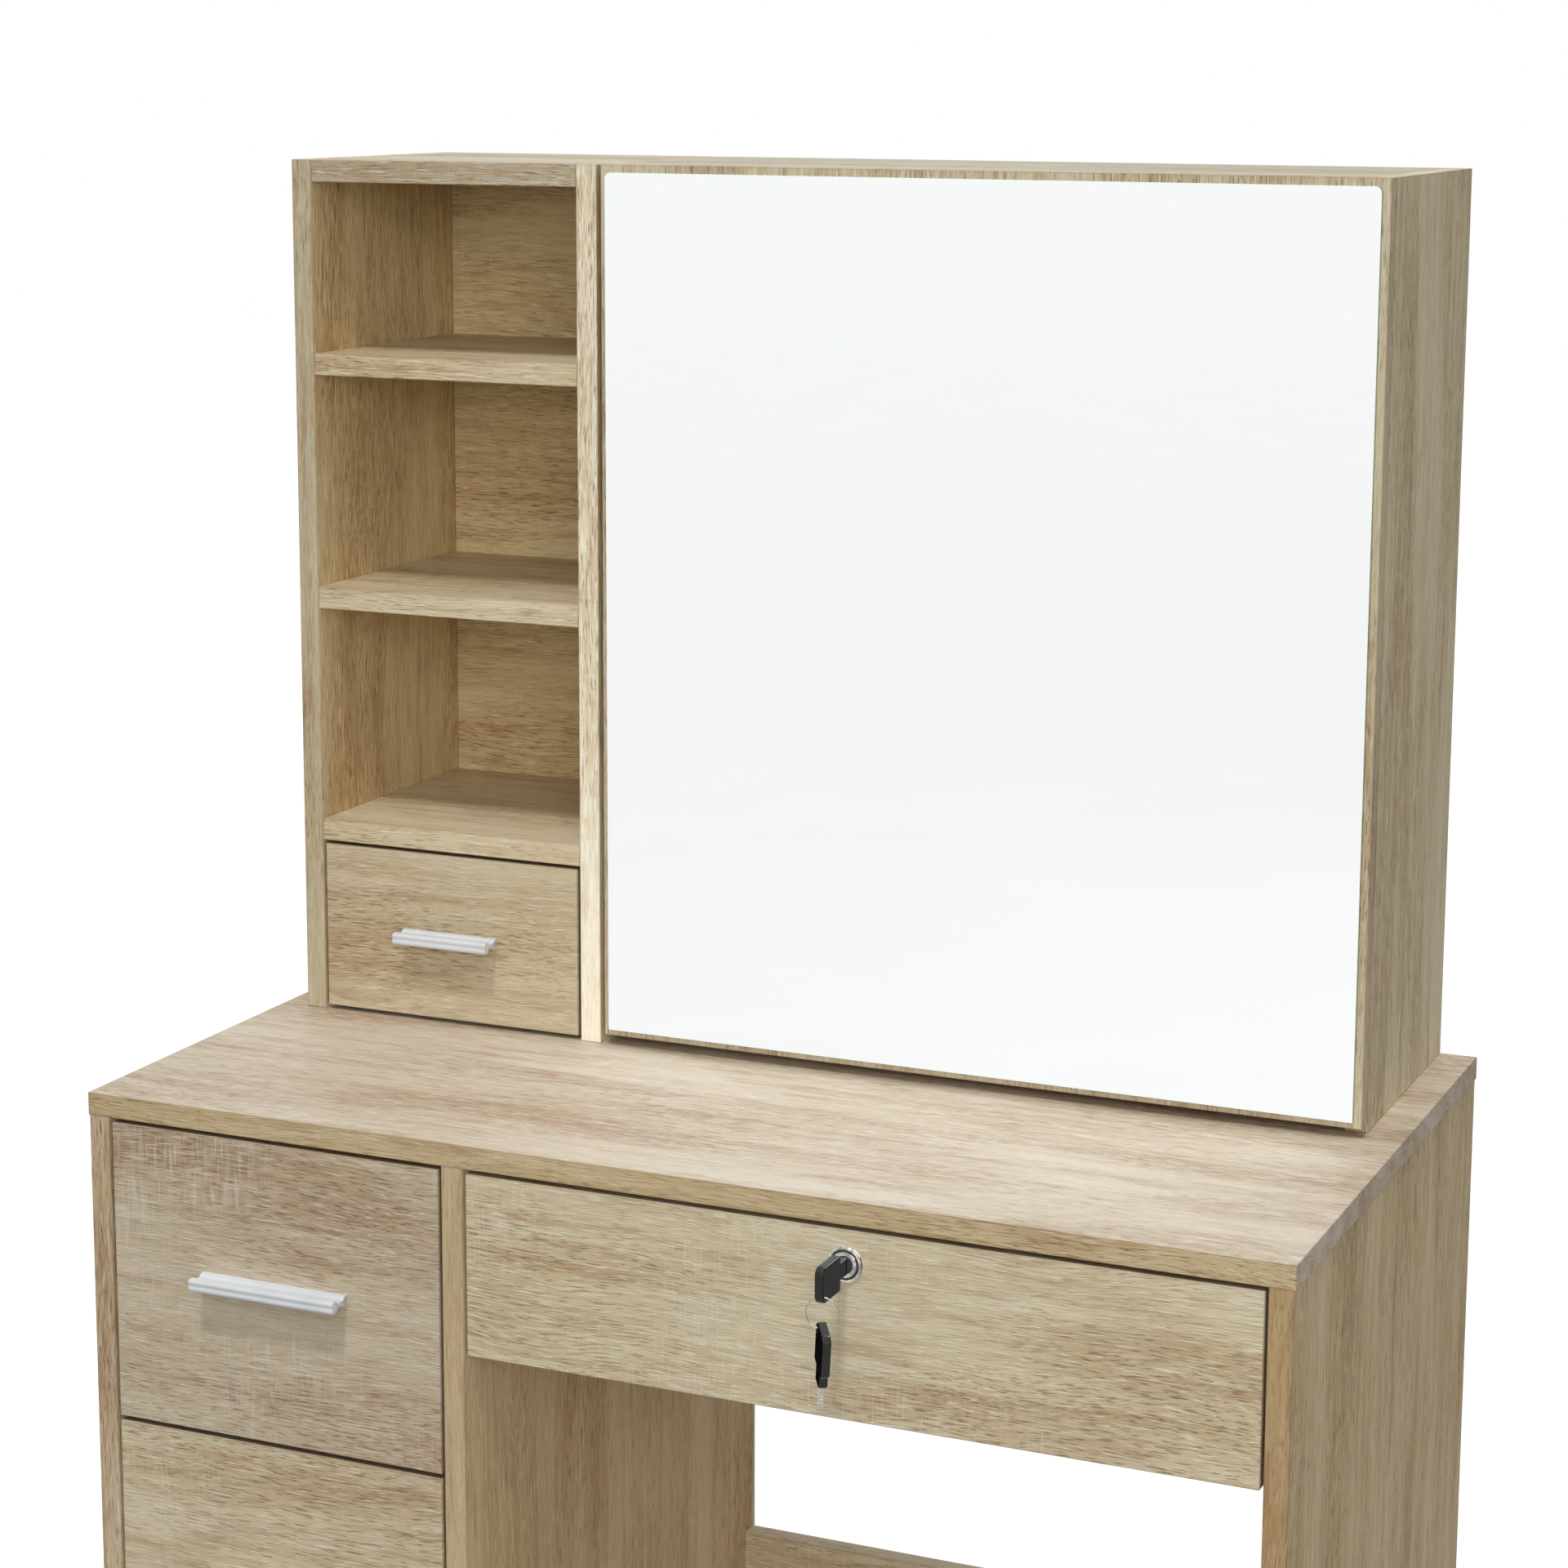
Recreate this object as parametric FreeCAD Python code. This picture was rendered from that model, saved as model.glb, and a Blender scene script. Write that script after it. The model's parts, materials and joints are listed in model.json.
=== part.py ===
import FreeCAD, Part
import math
import os

# Vanity table with a mirror cabinet: a desk with three pedestal drawers and one wide locking
# drawer, and on it a low cabinet with open shelves, a small drawer and a mirror door.
# Millimetres, +Z up, +Y to the back. The origin is the middle of the outer box, on the floor.

# ---- overall sizes
desk_width = 800.0
desk_depth = 450.0
desk_height = 750.0
hutch_height = 590.0
hutch_depth = 212.0

# ---- boards
board = 15.0
box_board = 12.0
thin_panel = 3.0
edge_radius = 0.6

# ---- desk frame
top_overhang = 1.0
glide_height = 4.0
glide_radius = 6.5
glide_inset = 40.0
pedestal_inside = 243.0
plinth_height = 108.5
plinth_setback = 35.0
back_setback = 8.0
rail_height = 100.0
knee_rail_top = 328.0

# ---- drawer fronts
top_gap = 3.0
front_gap = 3.5
side_gap = 2.0
wide_front_height = 117.0

# ---- drawer boxes
runner_space = 12.5
box_rear_space = 32.0
box_lift = 14.0
pedestal_box_height = 150.0
wide_box_height = 88.0
wide_box_drop = 3.0

# ---- roller runners
sheet = 1.2
roller_diameter = 14.0
roller_width = 5.0
roller_offset = 2.0
axle_radius = 1.6
rolling_gap = 0.3
flange_width = 10.0
lip_width = 4.0
lip_gap = 1.0
web_below = 3.0
roller_end = 9.0
runner_front = 1.0

# ---- bar handles
handle_projection = 18.0
handle_base_height = 10.0
handle_base_depth = 4.0
handle_bar_height = 8.0
handle_bar_depth = 6.0
handle_web = 3.6
handle_round = 1.8
handle_cove = 1.6
wide_handle_length = 106.0
small_handle_length = 72.0
pedestal_handle_rise = 5.0

# ---- lock and keys
lock_drop = 20.5
escutcheon_radius = 11.0
escutcheon_thick = 2.0
escutcheon_round = 1.2
escutcheon_groove_inner = 7.8
escutcheon_groove_outer = 9.4
escutcheon_groove_depth = 0.9
barrel_radius = 9.0
plug_radius = 7.0
plug_fit = 0.05
plug_proud = 2.0
plug_rim = 1.3
plug_dish_depth = 0.8
case_half_width = 18.0
case_depth = 9.0
case_below = 17.0
case_above = 18.0
bolt_half_width = 9.0
bolt_thick = 3.0
bolt_gap = 0.3
bolt_start = 1.5
bolt_below = 9.0
bolt_above = 18.5
bolt_travel = 8.0
crank_radius = 1.25
crank_throw = bolt_travel / 2.0 * math.sqrt(2.0)
crank_play = 0.5
crank_slot_low = 2.0
crank_slot_high = 8.0
mortise_gap = 1.5
mortise_depth = 10.0
blade_half_width = 2.75
blade_half_thick = 1.1
blade_gap = 0.3
blade_length = 18.0
key_stand = 4.0
key_neck_length = 9.0
key_neck_height = 11.0
key_head_length = 27.0
key_above = 10.0
key_below = 12.0
key_thick = 5.5
key_far_corner = 5.0
key_near_corner = 2.0
key_edge = 1.2
key_hole_radius = 2.4
key_hole_inset = 5.0
key_hole_rise = 3.9
ring_radius = 9.5
ring_wire = 0.5
ring_turn = 15.0
ring_drop = 0.6
spare_drop = 0.6
spare_turn = 33.0
spare_lean = 14.0
key_reach = 50.0

# ---- hutch
hutch_left_inset = 20.0
hutch_right_inset = 25.0
shelf_column_inside = 200.0
small_drawer_space = 121.0
lower_compartment = 148.0
middle_compartment = 145.5
back_inset = 3.0
small_front_gap = 2.5
small_front_lift = 3.0
small_box_height = 85.0
small_box_lift = 12.0
small_box_rear_space = 12.0
small_side_space = 1.0
guide_height = 10.0
guide_depth = 5.0
guide_gap = 0.4
guide_rise = 32.0
guide_front_space = 12.0
cabinet_shelf_heights = (200.0, 390.0)
cabinet_shelf_setback = 26.0
shelf_side_gap = 0.4
pin_radius = 2.5
pin_out = 8.0
pin_in = 9.0
pin_inset = 25.0

# ---- mirror door
door_side_gap = 3.0
door_lift = 6.5
door_back_gap = 1.5
glass_thick = 4.0
glass_margin = 5.0
glass_corner = 4.0
cup_radius = 17.5
cup_depth = 11.5
cup_wall = 1.0
cup_edge = 5.0
cup_from_end = 90.0
plate_half_height = 25.0
plate_half_width = 9.0
arm_half_height = 7.0
arm_width = 11.0
arm_tip = 5.0
arm_length = 62.0
mount_plate_thick = 3.0
mount_plate_half_height = 24.0
mount_plate_length = 34.0

# ---- shared planes
total_depth = desk_depth + key_reach
front = key_reach - total_depth / 2.0
back = front + desk_depth
half_width = desk_width / 2.0
top_under = desk_height - board
side_out = half_width - top_overhang
side_in = side_out - board
partition_left = -side_in + pedestal_inside
partition_right = partition_left + board
frame_back = back - back_setback - thin_panel
front_inner = front + board
pedestal_floor = glide_height + plinth_height
pedestal_count = 3
pedestal_names = ("bottom", "middle", "top")
pedestal_front_height = (
    top_under - top_gap - pedestal_floor - board - front_gap * pedestal_count
) / pedestal_count
lock_x = (partition_right + side_in) / 2.0
lock_z = top_under - top_gap - lock_drop

hutch_left = -half_width + hutch_left_inset
hutch_right = half_width - hutch_right_inset
hutch_front = back - hutch_depth
hutch_top = desk_height + hutch_height
hutch_under = hutch_top - board
column_left = hutch_left + board
column_right = column_left + shelf_column_inside
cabinet_left = column_right + board
cabinet_right = hutch_right - board
cabinet_front = hutch_front + board + door_back_gap
back_inner = back - back_inset - board
lower_shelf_top = desk_height + small_drawer_space + board
middle_shelf_top = lower_shelf_top + lower_compartment + board
upper_shelf_top = middle_shelf_top + middle_compartment + board
door_left = cabinet_left + door_side_gap
door_bottom = desk_height + door_lift


def vector(x, y, z):
    return FreeCAD.Vector(x, y, z)


def block(x0, x1, y0, y1, z0, z1):
    """A box between two corners."""
    return Part.makeBox(x1 - x0, y1 - y0, z1 - z0, vector(x0, y0, z0))


def panel(x0, x1, y0, y1, z0, z1):
    """A board with slightly eased edges."""
    solid = block(x0, x1, y0, y1, z0, z1)
    return solid.makeFillet(edge_radius, solid.Edges)


def rod_x(x0, x1, y, z, radius):
    return Part.makeCylinder(radius, x1 - x0, vector(x0, y, z), vector(1, 0, 0))


def rod_y(x, y0, y1, z, radius):
    return Part.makeCylinder(radius, y1 - y0, vector(x, y0, z), vector(0, 1, 0))


def rod_z(x, y, z0, z1, radius):
    return Part.makeCylinder(radius, z1 - z0, vector(x, y, z0), vector(0, 0, 1))


def save(name, *solids):
    """Write one node. Several solids stay separate inside it."""
    shape = solids[0] if len(solids) == 1 else Part.makeCompound(list(solids))
    shape.exportStep("parts/" + name + ".step")


def edges_along(shape, direction):
    """The straight edges of a shape that run along a direction."""
    found = []
    for edge in shape.Edges:
        if edge.Curve.TypeId == "Part::GeomLine" and abs(edge.Curve.Direction.dot(direction)) > 0.999:
            found.append(edge)
    return found


# ---- desk frame

def desk_top():
    solid = panel(-half_width, half_width, front, back, top_under, desk_height)
    bolt_y0 = front_inner + bolt_start - mortise_gap
    bolt_y1 = front_inner + bolt_start + bolt_thick + mortise_gap
    reach = bolt_half_width + mortise_gap
    mortise = block(lock_x - reach, lock_x + reach, bolt_y0, bolt_y1, top_under, top_under + mortise_depth)
    save("desk_top", solid.cut(mortise))


def desk_sides():
    save("desk_side_left", panel(-side_out, -side_in, front, back, glide_height, top_under))
    save("desk_side_right", panel(side_in, side_out, front, back, glide_height, top_under))
    save("desk_partition", panel(partition_left, partition_right, front, frame_back, glide_height, top_under))


def pedestal_floor_and_back():
    floor_top = pedestal_floor + board
    save("pedestal_bottom", panel(-side_in, partition_left, front, frame_back, pedestal_floor, floor_top))
    y0 = front + plinth_setback
    save("plinth", panel(-side_in, partition_left, y0, y0 + board, glide_height, pedestal_floor))
    back_y1 = frame_back + thin_panel
    save("pedestal_back_panel", block(-side_in, partition_right, frame_back, back_y1, pedestal_floor, top_under))


def rails():
    y0 = frame_back - board
    low = knee_rail_top - rail_height
    save("knee_rail", panel(partition_right, side_in, y0, frame_back, low, knee_rail_top))
    save("upper_rail", panel(partition_right, side_in, y0, frame_back, top_under - rail_height, top_under))


def floor_glides():
    middle = board / 2.0
    feet = []
    for x, y_back in (
        (-side_out + middle, back),
        (partition_left + middle, frame_back),
        (side_in + middle, back),
    ):
        for y in (front + glide_inset, y_back - glide_inset):
            feet.append(rod_z(x, y, 0.0, glide_height, glide_radius))
    save("floor_glides", *feet)


# ---- roller runners
# Across the gap between frame and drawer, the distances are counted from the frame's face.

def across(face, way, near, far):
    """Two x values, low first, for a stretch counted from a face towards the drawer."""
    return sorted((face + way * near, face + way * far))


def runner_levels(z0):
    """Heights of the roller's axle and of the drawer's lip above a runner's foot."""
    axle = z0 + sheet + rolling_gap + roller_diameter / 2.0
    lip = axle + roller_diameter / 2.0 + rolling_gap
    return axle, lip


def fixed_runner(face, way, z0, y0, y1):
    """The frame's half: a channel with a roller at its front end."""
    axle, lip = runner_levels(z0)
    top = lip + sheet + lip_gap
    radius = roller_diameter / 2.0
    wall = across(face, way, 0.0, sheet)
    foot = across(face, way, 0.0, flange_width)
    brow = across(face, way, 0.0, lip_width)
    wheel = across(face, way, roller_offset, roller_offset + roller_width)
    pin = across(face, way, 0.0, roller_offset)
    solid = block(wall[0], wall[1], y0, y1, z0, top + sheet)
    y_roller = y0 + roller_end
    y_lips = y_roller + radius + rolling_gap
    solid = solid.fuse(block(foot[0], foot[1], y_lips, y1, z0, z0 + sheet))
    solid = solid.fuse(block(brow[0], brow[1], y_lips, y1, top, top + sheet))
    solid = solid.fuse(rod_x(pin[0], pin[1], y_roller, axle, axle_radius))
    solid = solid.fuse(rod_x(wheel[0], wheel[1], y_roller, axle, radius))
    return solid


def moving_runner(face, way, z0, y0, y1):
    """The drawer's half: an angle whose lip rides on the front roller, with a roller behind."""
    axle, lip = runner_levels(z0)
    radius = roller_diameter / 2.0
    wall = across(face, way, runner_space - sheet, runner_space)
    brow = across(face, way, roller_offset + sheet, runner_space)
    near = roller_offset + sheet
    wheel = across(face, way, near, near + roller_width)
    pin = across(face, way, near + roller_width, runner_space)
    solid = block(wall[0], wall[1], y0, y1, z0 - web_below, lip + sheet)
    solid = solid.fuse(block(brow[0], brow[1], y0, y1, lip, lip + sheet))
    y_roller = y1 - roller_end
    solid = solid.fuse(rod_x(pin[0], pin[1], y_roller, axle, axle_radius))
    solid = solid.fuse(rod_x(wheel[0], wheel[1], y_roller, axle, radius))
    return solid


def runner_pair(make, left, right, z0, y0, y1):
    return [make(left, 1.0, z0, y0, y1), make(right, -1.0, z0, y0, y1)]


# ---- drawers

def box_sides_and_back(x0, x1, y0, y1, z0, z1):
    """The two sides and the back of a drawer box, as three boards."""
    return [
        block(x0, x0 + box_board, y0, y1, z0, z1),
        block(x1 - box_board, x1, y0, y1, z0, z1),
        block(x0 + box_board, x1 - box_board, y1 - box_board, y1, z0, z1),
    ]


def bar_handle(x, z, length, face):
    """An extruded bar: a base on the drawer front, a web and a round bar in front."""
    x0 = x - length / 2.0
    x1 = x + length / 2.0
    y_base = face - handle_base_depth
    y_tip = face - handle_projection
    y_bar = y_tip + handle_bar_depth
    half_base = handle_base_height / 2.0
    half_bar = handle_bar_height / 2.0
    half_web = handle_web / 2.0
    solid = block(x0, x1, y_base, face, z - half_base, z + half_base)
    solid = solid.fuse(block(x0, x1, y_bar, y_base, z - half_web, z + half_web))
    solid = solid.fuse(block(x0, x1, y_tip, y_bar, z - half_bar, z + half_bar)).removeSplitter()
    outer = []
    inner = []
    for edge in edges_along(solid, vector(1, 0, 0)):
        middle = edge.CenterOfMass
        if abs(abs(middle.z - z) - half_web) < 0.01:
            inner.append(edge)
        elif middle.y < face - 0.01:
            outer.append(edge)
    solid = solid.makeFillet(handle_cove, inner)
    outer = [e for e in edges_along(solid, vector(1, 0, 0)) if any(same_line(e, o) for o in outer)]
    return solid.makeFillet(handle_round, outer)


def same_line(one, other):
    """Whether two edges along X lie on one line."""
    return (one.CenterOfMass - other.CenterOfMass).cross(vector(1, 0, 0)).Length < 0.01


def pedestal_drawers():
    fixed = []
    x0 = -side_in
    x1 = partition_left
    box_x0 = x0 + runner_space
    box_x1 = x1 - runner_space
    box_end = frame_back - box_rear_space
    z = pedestal_floor + board + front_gap
    for name in pedestal_names:
        label = "pedestal_drawer_" + name
        top = z + pedestal_front_height
        save(label + "_front", panel(x0 + side_gap, x1 - side_gap, front, front_inner, z, top))
        low = z + box_lift
        floor = low + thin_panel
        boards = box_sides_and_back(box_x0, box_x1, front_inner, box_end, floor, low + pedestal_box_height)
        save(label + "_box", *boards)
        save(label + "_bottom_panel", block(box_x0, box_x1, front_inner, box_end, low, floor))
        foot = low + web_below
        save(label + "_runners", *runner_pair(moving_runner, x0, x1, foot, front_inner, box_end))
        fixed += runner_pair(fixed_runner, x0, x1, foot, front_inner + runner_front, box_end)
        grip_z = (z + top) / 2.0 + pedestal_handle_rise
        save(label + "_handle", bar_handle((x0 + x1) / 2.0, grip_z, wide_handle_length, front))
        z = top + front_gap
    save("pedestal_runners", *fixed)


def wide_drawer():
    x0 = partition_right
    x1 = side_in
    top = top_under - top_gap
    low = top - wide_front_height
    hole = rod_y(lock_x, front, front_inner, lock_z, barrel_radius)
    face = panel(x0 + side_gap, x1 - side_gap, front, front_inner, low, top)
    save("wide_drawer_front", face.cut(hole))
    box_x0 = x0 + runner_space
    box_x1 = x1 - runner_space
    box_end = frame_back - box_rear_space
    box_top = top - wide_box_drop
    floor = box_top - wide_box_height
    save("wide_drawer_box", *box_sides_and_back(box_x0, box_x1, front_inner, box_end, floor, box_top))
    bottom = block(box_x0, box_x1, front_inner, box_end, floor - thin_panel, floor)
    save("wide_drawer_bottom_panel", bottom)
    foot = box_top - runner_levels(0.0)[1] - sheet
    save("wide_drawer_runners", *runner_pair(moving_runner, x0, x1, foot, front_inner, box_end))
    save("wide_runners", *runner_pair(fixed_runner, x0, x1, foot, front_inner + runner_front, box_end))


# ---- lock and keys

def lock_case():
    """The fixed lock body: escutcheon, barrel through the front and the case behind it."""
    y_case = front_inner + case_depth
    face = front - escutcheon_thick
    solid = rod_y(lock_x, face, front, lock_z, escutcheon_radius)
    rim = [edge for edge in solid.Edges if edge.Closed and abs(edge.CenterOfMass.y - face) < 0.01]
    solid = solid.makeFillet(escutcheon_round, rim)
    groove = rod_y(lock_x, face, face + escutcheon_groove_depth, lock_z, escutcheon_groove_outer)
    island = rod_y(lock_x, face, face + escutcheon_groove_depth, lock_z, escutcheon_groove_inner)
    solid = solid.cut(groove.cut(island))
    solid = solid.fuse(rod_y(lock_x, front, front_inner, lock_z, barrel_radius))
    x0 = lock_x - case_half_width
    x1 = lock_x + case_half_width
    solid = solid.fuse(block(x0, x1, front_inner, y_case, lock_z - case_below, lock_z + case_above))
    bolt_y = front_inner + bolt_start
    bore = rod_y(lock_x, face, bolt_y, lock_z, plug_radius + plug_fit)
    reach = bolt_half_width + bolt_gap
    y0 = bolt_y - bolt_gap
    y1 = bolt_y + bolt_thick + 2.0 * bolt_gap + crank_radius
    slot = block(lock_x - reach, lock_x + reach, y0, y1, lock_z - bolt_below - bolt_gap, lock_z + case_above)
    save("lock_case", solid.cut(bore).cut(slot))


def lock_plug():
    """The turning cylinder, with a keyway and a crank pin that lifts the bolt."""
    bolt_y = front_inner + bolt_start
    plug_end = bolt_y - bolt_gap
    solid = rod_y(lock_x, front - plug_proud, plug_end, lock_z, plug_radius)
    arm = crank_throw / math.sqrt(2.0)
    pin_end = bolt_y + bolt_thick + bolt_gap
    solid = solid.fuse(rod_y(lock_x + arm, plug_end, pin_end, lock_z - arm, crank_radius))
    nose = front - plug_proud
    dish = rod_y(lock_x, nose, nose + plug_dish_depth, lock_z, plug_radius - plug_rim)
    x_gap = blade_half_thick + blade_gap
    z_gap = blade_half_width + blade_gap
    y1 = front - key_stand + blade_length + blade_gap
    keyway = block(lock_x - x_gap, lock_x + x_gap, nose, y1, lock_z - z_gap, lock_z + z_gap)
    save("lock_cylinder", solid.cut(dish).cut(keyway))


def lock_bolt():
    """The bolt plate, with a level slot that the crank pin moves in."""
    y0 = front_inner + bolt_start
    y1 = y0 + bolt_thick
    x0 = lock_x - bolt_half_width
    x1 = lock_x + bolt_half_width
    plate = block(x0, x1, y0, y1, lock_z - bolt_below, lock_z + bolt_above)
    middle = lock_z - crank_throw / math.sqrt(2.0)
    low = middle - crank_radius - crank_play
    high = middle + crank_radius + crank_play
    slot = block(lock_x + crank_slot_low, lock_x + crank_slot_high, y0, y1, low, high)
    save("lock_bolt", plate.cut(slot))


def key_blade_shape():
    """A key's blade along +Y from the neck's end, its flat facing X."""
    return block(-blade_half_thick, blade_half_thick, 0.0, blade_length, -blade_half_width, blade_half_width)


def key_hole():
    """The ring's hole in a key's head: y and z from the neck's end and the blade's axis."""
    return key_hole_inset - key_neck_length - key_head_length, key_hole_rise - key_below


def key_head_shape():
    """A key's moulded head and neck behind its blade, along -Y, its flat facing X."""
    half = key_thick / 2.0
    far = -key_neck_length - key_head_length
    solid = block(-half, half, far, -key_neck_length, -key_below, key_above)
    corners = edges_along(solid, vector(1, 0, 0))
    far_corners = [edge for edge in corners if edge.CenterOfMass.y < far + 0.01]
    solid = solid.makeFillet(key_far_corner, far_corners)
    corners = edges_along(solid, vector(1, 0, 0))
    near_corners = [edge for edge in corners if edge.CenterOfMass.y > -key_neck_length - 0.01]
    solid = solid.makeFillet(key_near_corner, near_corners)
    solid = solid.makeFillet(key_edge, solid.Edges)
    half_neck = key_neck_height / 2.0
    neck = block(-half, half, -key_neck_length - key_near_corner, 0.0, -half_neck, half_neck)
    neck = neck.makeFillet(key_edge, edges_along(neck, vector(0, 1, 0)))
    y, z = key_hole()
    hole = rod_x(-half, half, y, z, key_hole_radius)
    return solid.fuse(neck).cut(hole)


def turned(shape, axis, degrees):
    copy = shape.copy()
    copy.rotate(vector(0, 0, 0), axis, degrees)
    return copy


def moved(shape, x, y, z):
    copy = shape.copy()
    copy.translate(vector(x, y, z))
    return copy


def keys():
    """One key in the lock and a spare hanging from it on a wire ring."""
    y = front - key_stand
    save("key_blade", moved(key_blade_shape(), lock_x, y, lock_z))
    save("key_head", moved(key_head_shape(), lock_x, y, lock_z))
    hole_y, hole_z = key_hole()
    ring_y = y + hole_y
    ring_z = lock_z + hole_z - ring_drop - ring_radius
    ring_axis = vector(math.sin(math.radians(ring_turn)), -math.cos(math.radians(ring_turn)), 0.0)
    save("key_ring", Part.makeTorus(ring_radius, ring_wire, vector(lock_x, ring_y, ring_z), ring_axis))
    spare_z = ring_z - ring_radius - spare_drop
    for name, shape in (("spare_key_head", key_head_shape()), ("spare_key_blade", key_blade_shape())):
        shape = turned(moved(shape, 0.0, -hole_y, -hole_z), vector(0, 1, 0), 180.0)
        shape = turned(shape, vector(1, 0, 0), spare_lean - 90.0)
        shape = turned(shape, vector(0, 0, 1), spare_turn)
        save(name, moved(shape, lock_x, ring_y, spare_z))


# ---- hutch

def shelf_pin_spots():
    """Where the cabinet's shelf pins stand: x of the wall's face, inward way, y and z."""
    y_front = cabinet_front + cabinet_shelf_setback + pin_inset
    y_back = back_inner - pin_inset
    for height in cabinet_shelf_heights:
        z = desk_height + height - pin_radius
        for y in (y_front, y_back):
            yield cabinet_left, 1.0, y, z
            yield cabinet_right, -1.0, y, z


def pin_holes(side_face):
    holes = []
    for face, way, y, z in shelf_pin_spots():
        if face == side_face:
            x0, x1 = across(face, way, -pin_in, 0.0)
            holes.append(rod_x(x0, x1, y, z, pin_radius))
    return Part.makeCompound(holes)


def hutch_frame():
    left = panel(hutch_left, column_left, hutch_front, back, desk_height, hutch_top)
    save("hutch_side_left", left)
    right = panel(cabinet_right, hutch_right, cabinet_front, back, desk_height, hutch_top)
    save("hutch_side_right", right.cut(pin_holes(cabinet_right)))
    middle = panel(column_right, cabinet_left, hutch_front, back, desk_height, hutch_top)
    middle = middle.cut(block(column_right, cabinet_left, back_inner, back, desk_height, hutch_under))
    save("hutch_partition", middle.cut(pin_holes(cabinet_left)))
    save("shelf_column_top", panel(column_left, column_right, hutch_front, back, hutch_under, hutch_top))
    save("cabinet_top", panel(cabinet_left, cabinet_right, cabinet_front, back, hutch_under, hutch_top))
    rear = back_inner + board
    save("hutch_back_panel", panel(column_left, cabinet_right, back_inner, rear, desk_height, hutch_under))


def shelves():
    for name, top in (
        ("shelf_lower", lower_shelf_top),
        ("shelf_middle", middle_shelf_top),
        ("shelf_upper", upper_shelf_top),
    ):
        save(name, panel(column_left, column_right, hutch_front, back_inner, top - board, top))
    boards = []
    for height in cabinet_shelf_heights:
        z = desk_height + height
        y0 = cabinet_front + cabinet_shelf_setback
        x0 = cabinet_left + shelf_side_gap
        x1 = cabinet_right - shelf_side_gap
        boards.append(panel(x0, x1, y0, back_inner - shelf_side_gap, z, z + board))
    save("cabinet_shelves", *boards)
    pins = []
    for face, way, y, z in shelf_pin_spots():
        x0, x1 = across(face, way, -pin_in, pin_out)
        pins.append(rod_x(x0, x1, y, z, pin_radius))
    save("shelf_pins", *pins)


def small_drawer():
    x0 = column_left
    x1 = column_right
    low = desk_height + small_front_lift
    top = lower_shelf_top - board - small_front_gap
    y_inner = hutch_front + board
    save("small_drawer_front", panel(x0 + side_gap, x1 - side_gap, hutch_front, y_inner, low, top))
    z0 = low + small_box_lift
    y1 = back_inner - small_box_rear_space
    box_x0 = x0 + small_side_space
    box_x1 = x1 - small_side_space
    boards = box_sides_and_back(box_x0, box_x1, y_inner, y1, z0, z0 + small_box_height)
    groove_low = z0 + guide_rise - guide_gap
    groove_high = z0 + guide_rise + guide_height + guide_gap
    cut_y0 = y_inner + guide_front_space - guide_gap
    cut_depth = guide_depth + guide_gap
    boards[0] = boards[0].cut(block(box_x0, box_x0 + cut_depth, cut_y0, y1, groove_low, groove_high))
    boards[1] = boards[1].cut(block(box_x1 - cut_depth, box_x1, cut_y0, y1, groove_low, groove_high))
    save("small_drawer_box", *boards)
    save("small_drawer_bottom_panel", block(box_x0, box_x1, y_inner, y1, z0 - thin_panel, z0))
    grip_z = (low + top) / 2.0
    save("small_drawer_handle", bar_handle((x0 + x1) / 2.0, grip_z, small_handle_length, hutch_front))
    strips = []
    for face, way in ((x0, 1.0), (x1, -1.0)):
        a, b = across(face, way, 0.0, small_side_space + guide_depth)
        z = z0 + guide_rise
        strips.append(block(a, b, y_inner + guide_front_space, back_inner, z, z + guide_height))
    save("small_drawer_guides", *strips)


# ---- mirror door

def hinge_heights():
    return (door_bottom + cup_from_end, hutch_top - cup_from_end)


def cup_centre_x():
    return hutch_right - cup_edge - cup_radius


def mirror_door():
    door = panel(door_left, hutch_right, hutch_front, hutch_front + board, door_bottom, hutch_top)
    y_back = hutch_front + board
    for z in hinge_heights():
        door = door.cut(rod_y(cup_centre_x(), y_back - cup_depth, y_back, z, cup_radius))
    save("door_panel", door)
    x0 = door_left + glass_margin
    x1 = hutch_right - glass_margin
    z0 = door_bottom + glass_margin
    z1 = hutch_top - glass_margin
    glass = block(x0, x1, hutch_front - glass_thick, hutch_front, z0, z1)
    upright = edges_along(glass, vector(0, 1, 0))
    upper = [edge for edge in upright if edge.CenterOfMass.z > (z0 + z1) / 2.0]
    save("mirror_glass", glass.makeFillet(glass_corner, upper))


def door_hinges():
    cups = []
    arms = []
    x = cup_centre_x()
    y_back = hutch_front + board
    inner = cup_radius - cup_wall
    for z in hinge_heights():
        cup = rod_y(x, y_back - cup_depth, y_back, z, cup_radius)
        y1 = y_back + sheet
        plate = block(x - plate_half_width, x + plate_half_width - sheet, y_back, y1,
                      z - plate_half_height, z + plate_half_height)
        hollow = rod_y(x, y_back - cup_depth + cup_wall, y1, z, inner)
        cups.append(cup.fuse(plate).cut(hollow))
        arm_x1 = cabinet_right - mount_plate_thick
        arm_y0 = y_back - arm_tip
        arm_y1 = arm_y0 + arm_length
        arm = block(arm_x1 - arm_width, arm_x1, arm_y0, arm_y1, z - arm_half_height, z + arm_half_height)
        plate = block(arm_x1, cabinet_right, arm_y1 - mount_plate_length, arm_y1,
                      z - mount_plate_half_height, z + mount_plate_half_height)
        arms.append(arm.fuse(plate).removeSplitter())
    save("door_hinge_cups", *cups)
    save("door_hinge_arms", *arms)


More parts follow.
